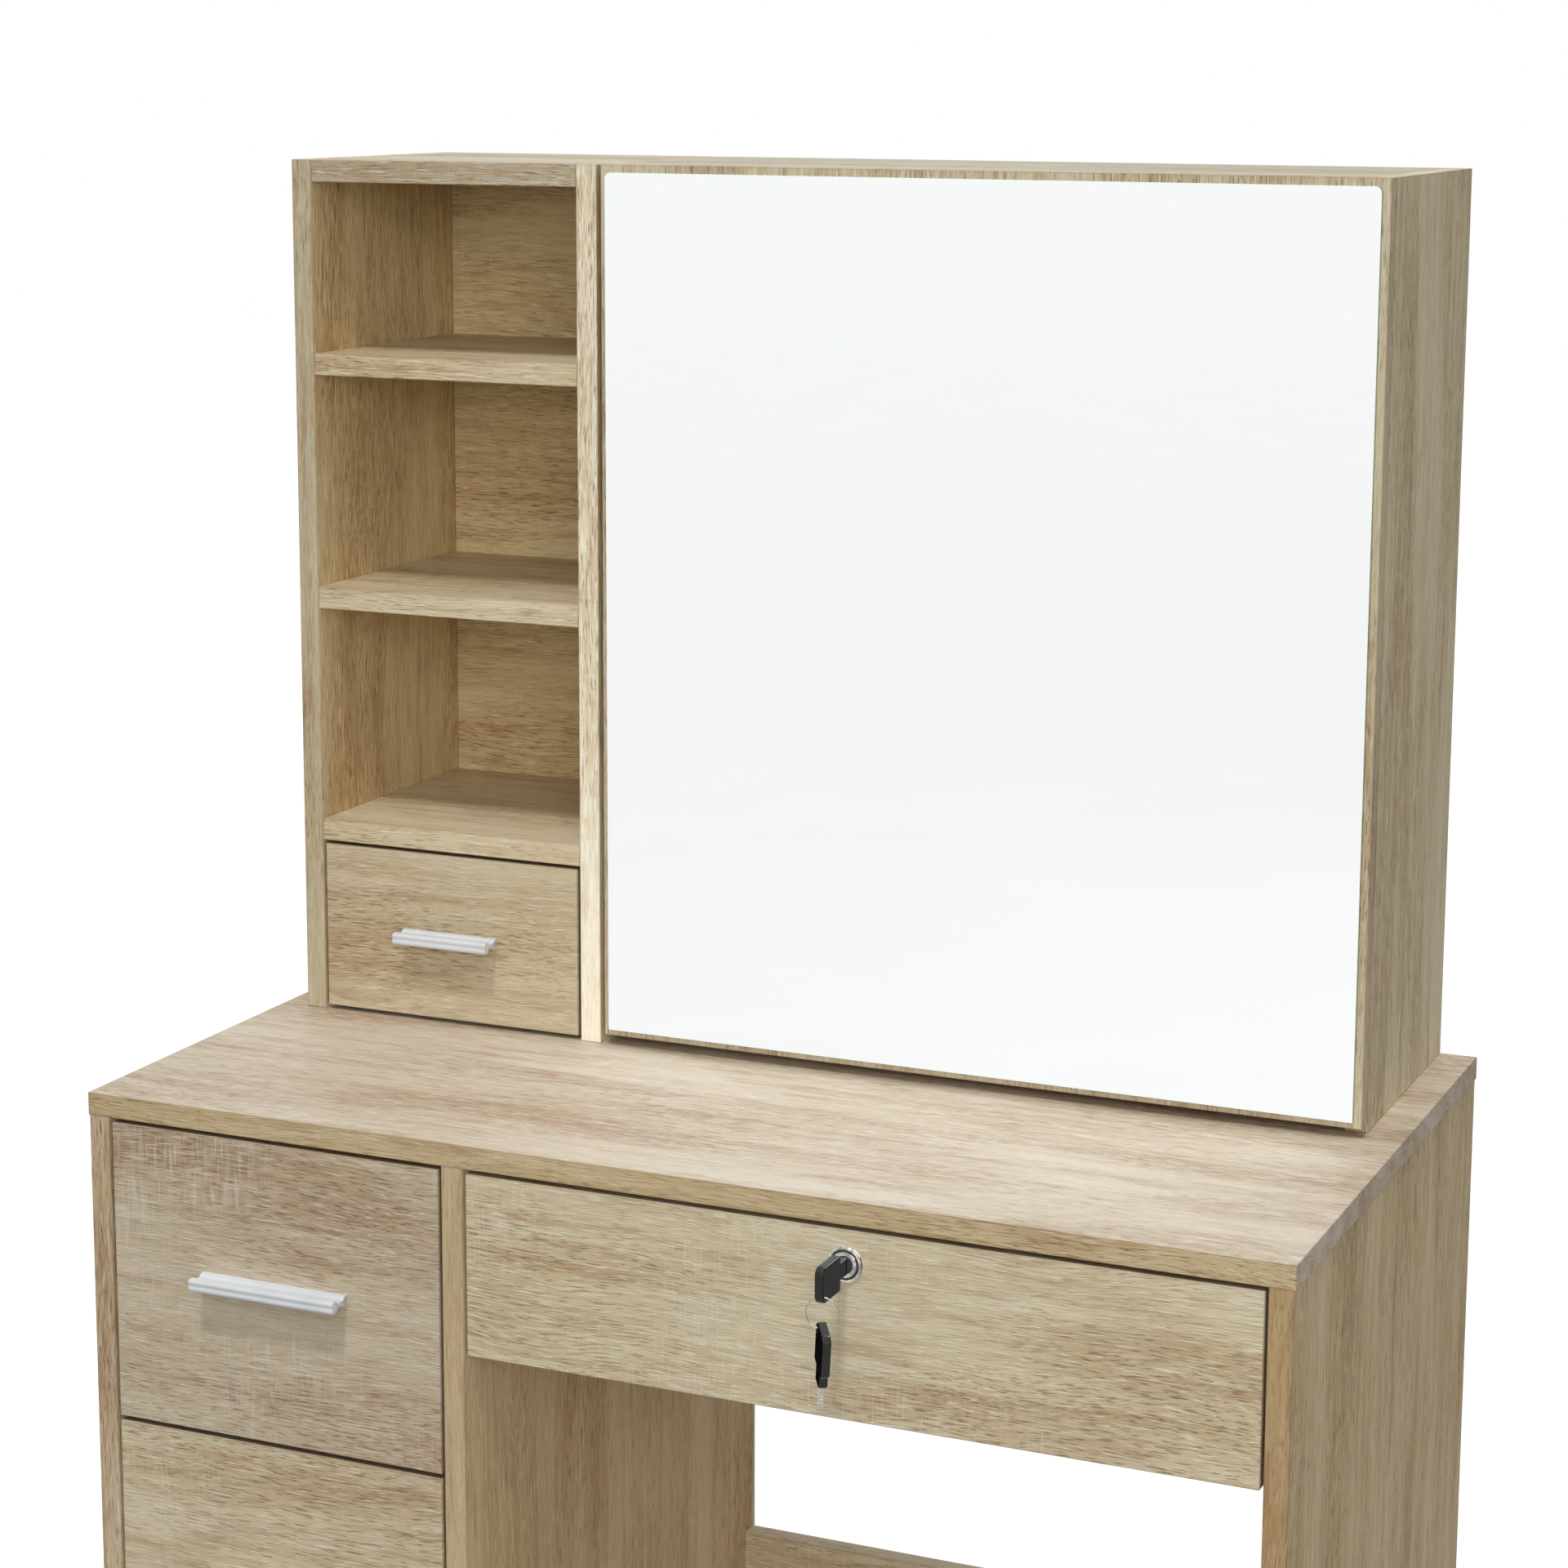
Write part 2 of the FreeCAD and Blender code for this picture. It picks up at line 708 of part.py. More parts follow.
def main():
    os.makedirs("parts", exist_ok=True)
    desk_top()
    desk_sides()
    pedestal_floor_and_back()
    rails()
    floor_glides()
    pedestal_drawers()
    wide_drawer()
    lock_case()
    lock_plug()
    lock_bolt()
    keys()
    hutch_frame()
    shelves()
    small_drawer()
    mirror_door()
    door_hinges()


main()
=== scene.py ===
import json
import math

import bpy
import numpy as np
from mathutils import Matrix, Vector

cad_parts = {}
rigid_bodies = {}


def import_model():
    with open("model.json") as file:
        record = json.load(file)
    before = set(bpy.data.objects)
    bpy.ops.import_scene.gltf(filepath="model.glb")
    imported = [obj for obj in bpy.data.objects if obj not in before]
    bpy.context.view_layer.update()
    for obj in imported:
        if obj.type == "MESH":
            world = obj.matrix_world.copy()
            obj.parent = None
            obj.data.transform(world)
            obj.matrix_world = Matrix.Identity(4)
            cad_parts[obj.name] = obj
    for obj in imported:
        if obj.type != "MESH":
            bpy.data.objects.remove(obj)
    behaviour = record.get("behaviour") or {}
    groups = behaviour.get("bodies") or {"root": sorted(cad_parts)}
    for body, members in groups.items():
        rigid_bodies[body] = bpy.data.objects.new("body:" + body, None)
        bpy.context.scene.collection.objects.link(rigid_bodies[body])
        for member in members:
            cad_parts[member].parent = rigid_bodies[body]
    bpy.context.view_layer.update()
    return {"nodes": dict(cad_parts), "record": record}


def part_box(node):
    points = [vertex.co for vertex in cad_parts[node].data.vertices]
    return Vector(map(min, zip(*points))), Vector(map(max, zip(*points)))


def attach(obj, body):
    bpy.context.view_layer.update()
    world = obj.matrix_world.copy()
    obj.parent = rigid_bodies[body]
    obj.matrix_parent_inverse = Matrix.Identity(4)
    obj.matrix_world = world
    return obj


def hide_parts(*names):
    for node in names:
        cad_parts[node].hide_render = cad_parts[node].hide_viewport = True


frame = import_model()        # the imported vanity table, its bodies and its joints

joints = {joint["name"]: joint for joint in frame["record"]["behaviour"]["joints"]}
mm = 0.001
print("frame loaded:", len(frame["nodes"]), "parts")

# places of a mix node's sockets: two numbers, or two colours and the mixed colour
firstNumber, secondNumber = 2, 3
firstColour, secondColour, mixedColour = 6, 7, 2


def toLinear(hexText, tint=(1, 1, 1)):
    # an sRGB hex colour as the linear colour that the shaders take, each channel times its tint
    values = np.array([int(hexText[i:i + 2], 16) / 255 for i in (1, 3, 5)])
    linear = np.where(values <= 0.04045, values / 12.92, ((values + 0.055) / 1.055) ** 2.4)
    return [*np.minimum(linear * tint, 1), 1.0]


def feed(tree, node, feeds):
    # sets a node's inputs, each to a value or to another node's output, given as (node, output)
    for name, value in feeds.items():
        if isinstance(value, tuple) and isinstance(value[0], bpy.types.Node):
            tree.links.new(value[0].outputs[value[1]], node.inputs[name])
        else:
            node.inputs[name].default_value = value


def addNode(tree, kind, feeds=None, stops=None, **settings):
    # one node with its properties set and its inputs fed, and a ramp's stops as (place, colour)
    node = tree.nodes.new(kind)
    for name, value in settings.items():
        setattr(node, name, value)
    feed(tree, node, feeds or {})
    for number, (place, colour) in enumerate(stops or []):
        elements = node.color_ramp.elements
        element = elements[number] if number < len(elements) else elements.new(place)
        element.position = place
        element.color = colour
    return node


def newMaterial(name):
    material = bpy.data.materials.new(name)
    material.use_nodes = True
    tree = material.node_tree
    tree.nodes.clear()
    shader = addNode(tree, "ShaderNodeBsdfPrincipled")
    addNode(tree, "ShaderNodeOutputMaterial", {"Surface": (shader, "BSDF")})
    return material, tree, shader


def paint(nodeName, material):
    mesh = frame["nodes"][nodeName].data
    mesh.materials.clear()
    mesh.materials.append(material)


oak = {
    # each layer of noise: its length along the grain and its width across it in mm, its detail
    "layers": {
        "tone": (420, 75, 2.0),
        "band": (240, 19, 3.0),
        "streak": (120, 5.5, 3.0),
        "fibre": (30, 1.5, 2.0),
        "flame": (85, 13, 2.0),
        "pore": (13, 0.9, 1.0),
        "dash": (17, 1.1, 1.0),
        "fineSaw": (1.9, 22, 1.0),
        "saw": (2.4, 30, 1.0),
        "patch": (130, 80, 1.0),
    },
    "layerRoughness": 0.55,
    "weights": {"tone": 0.44, "band": 0.32, "streak": 0.21, "fibre": 0.18},
    "wood": [(0.50, "#dccdae"), (0.60, "#cebc99"), (0.69, "#bea47f"), (0.80, "#a18562")],
    # the whole pattern's slow drift: its size along and across the grain, how far it moves, in mm
    "driftAlong": 260, "driftAcross": 120, "driftBy": 26,
    "ringWidth": 13, "ringWeight": 0.04, "ringRepeat": 0.314, "ringWobble": 2.6,
    "ringDetail": 2.0, "ringDetailScale": 0.12,
    # what is laid over the wood as its layer's noise goes from the first value to the second: how
    # strongly, which layer it keeps to, and its colour
    "overlays": {
        "flame": (0.56, 0.74, 0.55, None, "#ab8665"),
        "pore": (0.56, 0.66, 0.72, "tone", "#7c6140"),
        # the pale dashes are low pressed ridges, and their pale colour is a painted highlight along
        # them
        "dash": (0.55, 0.68, 0.62, None, "#e9dec6"),
        "fineSaw": (0.50, 0.72, 0.42, "patch", "#e8deca"),
        "saw": (0.60, 0.74, 0.70, "patch", "#e8deca"),
    },
    "toneFrom": 0.40, "toneTo": 0.60, "toneLeast": 0.3, "patchFrom": 0.46, "patchTo": 0.64,
    # the glue line along corners, and the painted shade on the drawer fronts' narrow edges that
    # stands for the shade in the gaps between them, with their depths in mm
    "glueColour": "#6e573a", "glueLine": 0.7, "glueStrength": 0.3,
    "paintedGapShadeColour": "#4e3b24", "shadeFrom": 0.8, "shadeTo": 2.6, "edgeSkin": 0.2, "bandDepth": 0.3,
    "roughness": (0.42, 0.58), "roughFrom": 0.3, "roughTo": 0.7, "ior": 1.48, "specular": 0.5,
    "relief": 0.6, "reliefHeight": 0.7, "poreDent": -0.8, "dashRidge": 0.6,
}

# rotation that lays the pattern's grain along a board's x or z
turnTo = {"x": (0, 0, 0), "z": (0, math.radians(90), 0)}


def makeOak(nodeName, along, shift, sawShow, tint, edgeTint, deep):
    # oak decor melamine: a printed oak foil pressed with short pore dents, so satin, with soft
    # brown bands and flames, dark pore dashes, and faint pale saw marks across the grain in patches
    material, tree, shader = newMaterial("oak decor melamine, pressed pores, " + nodeName)
    coord = addNode(tree, "ShaderNodeTexCoord")
    place = addNode(tree, "ShaderNodeMapping", {
        "Vector": (coord, "Object"), "Location": shift, "Rotation": turnTo[along]})

    # slow drift that makes the bands wander across the board
    across = 1 / (oak["driftAcross"] * mm)
    slow = addNode(tree, "ShaderNodeVectorMath", {
        0: (place, 0), 1: (1 / (oak["driftAlong"] * mm), across, across)}, operation="MULTIPLY")
    wander = addNode(tree, "ShaderNodeTexNoise", {"Vector": (slow, 0), "Scale": 1.0, "Detail": 2.0})
    centred = addNode(tree, "ShaderNodeVectorMath", {0: (wander, "Color"), 1: (0.5, 0.5, 0.5)},
                      operation="SUBTRACT")
    reach = (0, oak["driftBy"] * mm, oak["driftBy"] * mm)
    drifted = addNode(tree, "ShaderNodeVectorMath", {0: (centred, 0), 1: reach, 2: (place, 0)},
                      operation="MULTIPLY_ADD")
    layer = {}
    for kind, (length, width, detail) in oak["layers"].items():
        size = (1 / (length * mm), 1 / (width * mm), 1 / (width * mm))
        scaled = addNode(tree, "ShaderNodeVectorMath", {0: (drifted, 0), 1: size},
                         operation="MULTIPLY")
        layer[kind] = addNode(tree, "ShaderNodeTexNoise", {
            "Vector": (scaled, 0), "Scale": 1.0, "Detail": detail,
            "Roughness": oak["layerRoughness"]})

    # growth rings round a log's axis, cut flat by the board, which gives arches and long lines; the
    # node repeats them each ringRepeat of its scaled length
    rings = addNode(tree, "ShaderNodeTexWave", {
        "Vector": (drifted, 0), "Scale": oak["ringRepeat"] / (oak["ringWidth"] * mm),
        "Distortion": oak["ringWobble"], "Detail": oak["ringDetail"],
        "Detail Scale": oak["ringDetailScale"]},
        wave_type="RINGS", rings_direction="X", wave_profile="SAW")

    # one grey, the sum of the rings and the layers times their weights, through the wood's colours
    total = addNode(tree, "ShaderNodeMath", {0: (rings, "Fac"), 1: oak["ringWeight"]},
                    operation="MULTIPLY")
    for kind, weight in oak["weights"].items():
        total = addNode(tree, "ShaderNodeMath", {0: (layer[kind], 0), 1: weight, 2: (total, 0)},
                        operation="MULTIPLY_ADD")
    # the board's own tone, which also holds painted light and shade set board by board, times each
    # colour
    stops = [(spot, toLinear(colour, tint)) for spot, colour in oak["wood"]]
    shown = (addNode(tree, "ShaderNodeValToRGB", {"Fac": (total, 0)}, stops=stops), "Color")

    # where a layer of noise passes its threshold, its colour is laid over by up to its strength
    keepsTo = {
        "tone": addNode(tree, "ShaderNodeMapRange", {
            "Value": (layer["tone"], 0), "From Min": oak["toneFrom"], "From Max": oak["toneTo"],
            "To Min": oak["toneLeast"], "To Max": 1.0}),
        "patch": addNode(tree, "ShaderNodeMapRange", {
            "Value": (layer["patch"], 0), "From Min": oak["patchFrom"],
            "From Max": oak["patchTo"], "To Min": 0.0, "To Max": sawShow}),
    }
    laid = {}
    for kind, (start, end, strength, where, colour) in oak["overlays"].items():
        mask = addNode(tree, "ShaderNodeMapRange", {
            "Value": (layer[kind], 0), "From Min": start, "From Max": end,
            "To Min": 0.0, "To Max": strength})
        if where:
            mask = addNode(tree, "ShaderNodeMath", {0: (mask, 0), 1: (keepsTo[where], 0)},
                           operation="MULTIPLY")
        laid[kind] = mask
        shown = (addNode(tree, "ShaderNodeMix", {
            "Factor": (mask, 0), firstColour: shown, secondColour: toLinear(colour, tint)},
            data_type="RGBA"), mixedColour)

    # depth inside the board from its faces: half its size, less the distance from its middle
    low, high = (np.array(corner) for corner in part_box(nodeName))
    fromMiddle = addNode(tree, "ShaderNodeVectorMath", {
        0: (coord, "Object"), 1: tuple((low + high) / 2)}, operation="SUBTRACT")
    spread = addNode(tree, "ShaderNodeVectorMath", {0: (fromMiddle, 0)}, operation="ABSOLUTE")
    inside = addNode(tree, "ShaderNodeVectorMath", {
        0: tuple((high - low) / 2), 1: (spread, 0)}, operation="SUBTRACT")
    apart = addNode(tree, "ShaderNodeSeparateXYZ", {0: (inside, 0)})

    # the dark glue line shows where a point is near two faces or more, which is along the corners
    near = [addNode(tree, "ShaderNodeMath", {0: (apart, axis), 1: oak["glueLine"] * mm},
                    operation="LESS_THAN") for axis in range(3)]
    count = addNode(tree, "ShaderNodeMath", {0: (near[0], 0), 1: (near[1], 0)}, operation="ADD")
    count = addNode(tree, "ShaderNodeMath", {0: (count, 0), 1: (near[2], 0)}, operation="ADD")
    corner = addNode(tree, "ShaderNodeMapRange", {
        "Value": (count, 0), "From Min": 1.4, "From Max": 1.6,
        "To Min": 0.0, "To Max": oak["glueStrength"]})
    shown = (addNode(tree, "ShaderNodeMix", {
        "Factor": (corner, 0), firstColour: shown, secondColour: toLinear(oak["glueColour"])},
        data_type="RGBA"), mixedColour)

    parts = addNode(tree, "ShaderNodeSeparateXYZ", {0: (coord, "Object")})
    # the front edge band's own tone, which also holds painted light and shade set board by board
    if edgeTint:
        band = addNode(tree, "ShaderNodeMath", {
            0: (parts, "Y"), 1: low[1] + oak["bandDepth"] * mm}, operation="LESS_THAN")
        shown = (addNode(tree, "ShaderNodeMix", {
            "Factor": (band, 0), firstColour: shown, secondColour: (*edgeTint, 1)},
            data_type="RGBA", blend_type="MULTIPLY"), mixedColour)
    if deep:
        # painted shade: the narrow edges of a drawer front are painted dark brown from a little
        # behind its face, for the shade in the gaps between the fronts
        inward = addNode(tree, "ShaderNodeMapRange", {
            "Value": (parts, "Y"), "From Min": low[1] + oak["shadeFrom"] * mm,
            "From Max": low[1] + oak["shadeTo"] * mm, "To Min": 0.0, "To Max": deep})
        atEdge = addNode(tree, "ShaderNodeMath", {0: (apart, "X"), 1: (apart, "Z")},
                         operation="MINIMUM")
        onEdge = addNode(tree, "ShaderNodeMath", {0: (atEdge, 0), 1: oak["edgeSkin"] * mm},
                         operation="LESS_THAN")
        depth = addNode(tree, "ShaderNodeMath", {0: (inward, 0), 1: (onEdge, 0)},
                        operation="MULTIPLY")
        shown = (addNode(tree, "ShaderNodeMix", {
            "Factor": (depth, 0), firstColour: shown, secondColour: toLinear(oak["paintedGapShadeColour"])},
            data_type="RGBA"), mixedColour)
        # the painted shade also takes the specular level down, so the shaded edges do not shine
        sheen = addNode(tree, "ShaderNodeMapRange", {
            "Value": (depth, 0), "From Min": 0.0, "From Max": deep,
            "To Min": oak["specular"], "To Max": 0.0})
        feed(tree, shader, {"Specular IOR Level": (sheen, 0)})

    least, most = oak["roughness"]
    gloss = addNode(tree, "ShaderNodeMapRange", {
        "Value": (layer["fibre"], 0), "From Min": oak["roughFrom"], "From Max": oak["roughTo"],
        "To Min": least, "To Max": most})

    # pressed relief: the pores are dents, the fibres and the dashes low ridges
    dents = addNode(tree, "ShaderNodeMath", {
        0: (laid["pore"], 0), 1: oak["poreDent"], 2: (layer["fibre"], 0)},
        operation="MULTIPLY_ADD")
    ridges = addNode(tree, "ShaderNodeMath", {
        0: (laid["dash"], 0), 1: oak["dashRidge"], 2: (dents, 0)}, operation="MULTIPLY_ADD")
    bump = addNode(tree, "ShaderNodeBump", {
        "Height": (ridges, 0), "Strength": oak["relief"], "Distance": oak["reliefHeight"] * mm})
    feed(tree, shader, {"Base Color": shown, "Roughness": (gloss, 0), "Normal": (bump, 0),
                        "IOR": oak["ior"]})
    return material


# each board: its grain's direction, where its sheet of foil starts in metres, how much of it is saw
# marked, its tone, its front edge band's tone, and how strong the painted gap shade on its narrow
# edges is. The two tones differ because boards and edge bands come from different sheets, and
# they also hold painted light and shade set board by board: greyer tops, brighter insides, darker
# drawer fronts, a darker right side edge and a brighter partition edge
boards = {
    "desk_top": ("x", (0.10, 0.31, 0.02), 0.3, (0.96, 0.98, 1.13), (0.86, 0.78, 0.57), 0),
    "desk_side_left": ("z", (1.30, 0.52, 0.11), 0.2, (1.04, 0.99, 0.90), (0.88, 0.89, 0.98), 0),
    "desk_side_right": ("z", (2.47, 0.12, 0.35), 0.3, (1.05, 1.00, 0.88), (0.63, 0.54, 0.43), 0),
    "desk_partition": ("z", (0.72, 0.93, 0.28), 0.2, (1.10, 0.96, 0.80), (0.73, 0.75, 0.77), 0),
    "pedestal_bottom": ("x", (3.10, 0.25, 0.41), 0.3, (1, 1, 1), None, 0),
    "plinth": ("x", (1.90, 0.66, 0.05), 0.4, (0.92, 0.92, 0.92), None, 0),
    "knee_rail": ("x", (2.85, 0.81, 0.14), 0.4, (0.95, 0.93, 0.9), None, 0),
    "upper_rail": ("x", (0.55, 1.20, 0.33), 0.3, (1, 1, 1), None, 0),
    "pedestal_drawer_bottom_front": ("x", (4.21, 0.37, 0.09), 0.6, (0.9, 0.9, 0.92), None, 0.62),
    "pedestal_drawer_middle_front": ("x", (1.62, 0.15, 0.22), 0.4, (0.92, 0.92, 0.93), None, 0.62),
    "pedestal_drawer_top_front": ("x", (2.33, 0.58, 0.17), 0.8, (0.84, 0.84, 0.89), None, 0.62),
    "wide_drawer_front": ("x", (0.91, 0.44, 0.30), 0.6, (0.97, 0.99, 1.0), None, 0.62),
    "small_drawer_front": ("x", (3.64, 0.72, 0.26), 0.3, (0.86, 0.85, 0.84), None, 0.62),
    "hutch_side_left": ("z", (0.28, 0.17, 0.47), 0.2, (1.18, 1.11, 0.93), (0.69, 0.74, 0.86), 0),
    "hutch_side_right": ("z", (1.77, 0.39, 0.13), 0.2, (1.08, 1.10, 1.08), None, 0),
    "hutch_partition": ("z", (2.92, 0.61, 0.07), 0.2, (1.08, 1.08, 1.04), (1.34, 1.47, 1.76), 0),
    "shelf_column_top": ("x", (0.44, 0.88, 0.19), 0.2, (0.86, 0.90, 0.97), None, 0),
    "cabinet_top": ("x", (1.15, 1.03, 0.24), 0.2, (0.82, 0.89, 0.98), None, 0),
    "hutch_back_panel": ("x", (2.06, 0.29, 0.38), 0.4, (1.14, 1.08, 0.90), None, 0),
    "shelf_lower": ("x", (3.38, 0.47, 0.32), 0.2, (1, 1, 1), None, 0),
    "shelf_middle": ("x", (0.83, 0.76, 0.43), 0.2, (1, 1, 1), None, 0),
    "shelf_upper": ("x", (2.71, 1.11, 0.12), 0.2, (1.04, 1.04, 1.04), None, 0),
    "cabinet_shelves": ("x", (4.02, 0.53, 0.21), 0.2, (1, 1, 1), None, 0),
    "door_panel": ("z", (1.44, 0.83, 0.36), 0.2, (0.9, 0.9, 0.9), None, 0),
}
for nodeName, finish in boards.items():
    paint(nodeName, makeOak(nodeName, *finish))
print("oak boards painted:", len(boards))

# each coat: its two colours, the size in mm of the soft clouds between them and their detail, the
# size in mm of its fine grain, its roughness, and how strong and high its grain stands
coats = {
    # pale foil on chipboard: satin, with a fine pressed pearl and faint specks
    "melamine, pearl pressed, pale": {
        "colours": [(0.3, "#dcd8cf"), (0.75, "#cfcabf")], "cloud": 90, "cloudDetail": 3.0,
        "grain": 2.2, "roughness": (0.38, 0.55), "relief": 0.12, "reliefHeight": 0.1},
    # thin rolled lacquer: the same satin, a little whiter
    "hardboard, white lacquered face": {
        "colours": [(0.3, "#e4e2db"), (0.75, "#d8d5cb")], "cloud": 90, "cloudDetail": 3.0,
        "grain": 2.2, "roughness": (0.38, 0.55), "relief": 0.12, "reliefHeight": 0.1},
    # baked powder on metal: smooth, slightly orange-peeled, with a soft even highlight
    "steel strip, cream powder coat": {
        "colours": [(0.35, "#e6e4dc"), (0.7, "#dbd8ce")], "cloud": 30, "cloudDetail": 2.0,
        "grain": 1.2, "roughness": (0.30, 0.42), "relief": 0.15, "reliefHeight": 0.08},
    # moulded white plastic: duller, with the mould's faint grain
    "polyamide, injection moulded, white": {
        "colours": [(0.35, "#dedcd4"), (0.7, "#d3d0c6")], "cloud": 30, "cloudDetail": 2.0,
        "grain": 0.8, "roughness": (0.44, 0.56), "relief": 0.2, "reliefHeight": 0.08},
    # sprayed lacquer on an extrusion: cool white, with a broad satin highlight along the bar
    "aluminium extrusion, white satin lacquer": {
        "colours": [(0.35, "#d9dcde"), (0.7, "#cfd3d6")], "cloud": 30, "cloudDetail": 2.0,
        "grain": 0.9, "roughness": (0.28, 0.40), "relief": 0.1, "reliefHeight": 0.08},
}


def makeCoat(name):
    # soft clouds choose the colour, and a fine grain breaks the gloss and stands in slight relief
    coat = coats[name]
    material, tree, shader = newMaterial(name)
    coord = addNode(tree, "ShaderNodeTexCoord")
    grain = addNode(tree, "ShaderNodeTexNoise", {
        "Vector": (coord, "Object"), "Scale": 1 / (coat["grain"] * mm), "Detail": 2.0})
    cloud = addNode(tree, "ShaderNodeTexNoise", {
        "Vector": (coord, "Object"), "Scale": 1 / (coat["cloud"] * mm),
        "Detail": coat["cloudDetail"]})
    stops = [(spot, toLinear(colour)) for spot, colour in coat["colours"]]
    tone = addNode(tree, "ShaderNodeValToRGB", {"Fac": (cloud, 0)}, stops=stops)
    least, most = coat["roughness"]
    gloss = addNode(tree, "ShaderNodeMapRange", {
        "Value": (grain, 0), "To Min": least, "To Max": most})
    bump = addNode(tree, "ShaderNodeBump", {
        "Height": (grain, 0), "Strength": coat["relief"], "Distance": coat["reliefHeight"] * mm})
    feed(tree, shader, {"Base Color": (tone, 0), "Roughness": (gloss, 0), "Normal": (bump, 0)})
    return material


boardWhite = makeCoat("melamine, pearl pressed, pale")
hardboardWhite = makeCoat("hardboard, white lacquered face")
runnerWhite = makeCoat("steel strip, cream powder coat")
glideWhite = makeCoat("polyamide, injection moulded, white")
handleWhite = makeCoat("aluminium extrusion, white satin lacquer")
for nodeName in frame["nodes"]:
    if nodeName.endswith("_box"):
        paint(nodeName, boardWhite)
    if nodeName.endswith("_bottom_panel") or nodeName == "pedestal_back_panel":
        paint(nodeName, hardboardWhite)
    if nodeName.endswith("_runners"):
        paint(nodeName, runnerWhite)
    if nodeName in ("floor_glides", "small_drawer_guides"):
        paint(nodeName, glideWhite)

steel = {
    "stretch": 14, "lightFrom": 0.3, "darkFrom": 0.72, "smoothest": 0.8, "roughest": 1.3,
    "relief": 0.15, "reliefHeight": 0.05,
}


def makeSteel(name, colour, shade, roughness, scratchMm):
    # plated metal: fine lengthwise polishing lines that soften its highlight
    material, tree, shader = newMaterial(name)
    coord = addNode(tree, "ShaderNodeTexCoord")
    fine = 1 / (scratchMm * mm)
    stretched = addNode(tree, "ShaderNodeVectorMath", {
        0: (coord, "Object"), 1: (fine, fine, 1 / (scratchMm * steel["stretch"] * mm))},
        operation="MULTIPLY")
    lines = addNode(tree, "ShaderNodeTexNoise", {
        "Vector": (stretched, 0), "Scale": 1.0, "Detail": 3.0})
    tone = addNode(tree, "ShaderNodeValToRGB", {"Fac": (lines, 0)}, stops=[
        (steel["lightFrom"], toLinear(colour)), (steel["darkFrom"], toLinear(shade))])
    gloss = addNode(tree, "ShaderNodeMapRange", {
        "Value": (lines, 0), "To Min": roughness * steel["smoothest"],
        "To Max": roughness * steel["roughest"]})
    bump = addNode(tree, "ShaderNodeBump", {
        "Height": (lines, 0), "Strength": steel["relief"],
        "Distance": steel["reliefHeight"] * mm})
    feed(tree, shader, {"Base Color": (tone, 0), "Roughness": (gloss, 0), "Normal": (bump, 0),
                        "Metallic": 1.0})
    return material


nickelSteel = makeSteel("steel, nickel plated, satin", "#d6d2c8", "#b9b4a8", 0.28, 0.5)
zincSteel = makeSteel("steel, zinc plated, barrel finished", "#c2c3c0", "#9ea09e", 0.38, 0.9)
for nodeName in ("door_hinge_cups", "door_hinge_arms", "shelf_pins"):
    paint(nodeName, nickelSteel)
paint("lock_bolt", zincSteel)
print("plain finishes painted")

mirror = {
    "silver": "#f6f9f8", "edge": "#9fb7ab", "edgeFrom": 0.1, "edgeDepth": 0.5,
    "roughness": 0.03, "smoothest": 0.8, "roughest": 1.2,
    "ripple": 160, "rippleFrom": 0.3, "rippleTo": 0.7,
}


def makeMirror():
    # silvered float glass: a near perfect reflection, with a green tinge at its ground edge
    material, tree, shader = newMaterial("float glass, silvered")
    coord = addNode(tree, "ShaderNodeTexCoord")
    parts = addNode(tree, "ShaderNodeSeparateXYZ", {0: (coord, "Object")})
    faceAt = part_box("mirror_glass")[0].y
    behind = addNode(tree, "ShaderNodeMapRange", {
        "Value": (parts, "Y"), "From Min": faceAt + mirror["edgeFrom"] * mm,
        "From Max": faceAt + mirror["edgeDepth"] * mm})
    ripple = addNode(tree, "ShaderNodeTexNoise", {
        "Vector": (coord, "Object"), "Scale": 1 / (mirror["ripple"] * mm), "Detail": 1.0})
    dust = addNode(tree, "ShaderNodeMapRange", {
        "Value": (ripple, 0), "From Min": mirror["rippleFrom"], "From Max": mirror["rippleTo"],
        "To Min": mirror["roughness"] * mirror["smoothest"],
        "To Max": mirror["roughness"] * mirror["roughest"]})
    tone = addNode(tree, "ShaderNodeMix", {
        "Factor": (behind, 0), firstColour: toLinear(mirror["silver"]),
        secondColour: toLinear(mirror["edge"])}, data_type="RGBA")
    feed(tree, shader, {"Base Color": (tone, mixedColour), "Roughness": (dust, 0),
                        "Metallic": 1.0})
    return material


paint("mirror_glass", makeMirror())
print("mirror painted")

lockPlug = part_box("lock_cylinder")
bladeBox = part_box("key_blade")
lock = {
    "x": (lockPlug[0].x + lockPlug[1].x) / 2, "z": bladeBox[0].z / 2 + bladeBox[1].z / 2,
    "face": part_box("lock_case")[0].y,
    # radii in mm of the case's groove and of the plug's dish, both laid black, and how deep
    # behind the face the black and the polish end
    "groove": (7.8, 9.4), "grooveDepth": 3.0, "dish": (0.0, 5.7), "dishDepth": 6.0,
    "radiusPlay": 0.05, "sunkBlackFrom": 0.35, "sunkBlack": "#0b0b0b",
    # the chrome's colours, whose dark one is a painted reflection, and the size in mm of their
    # patches
    "chrome": [(0.35, "#dedcd8"), (0.62, "#96918a")], "wearAndPaintedReflection": 5,
    "polish": 0.09, "wearRoughness": 0.08, "castRoughness": 0.24,
}


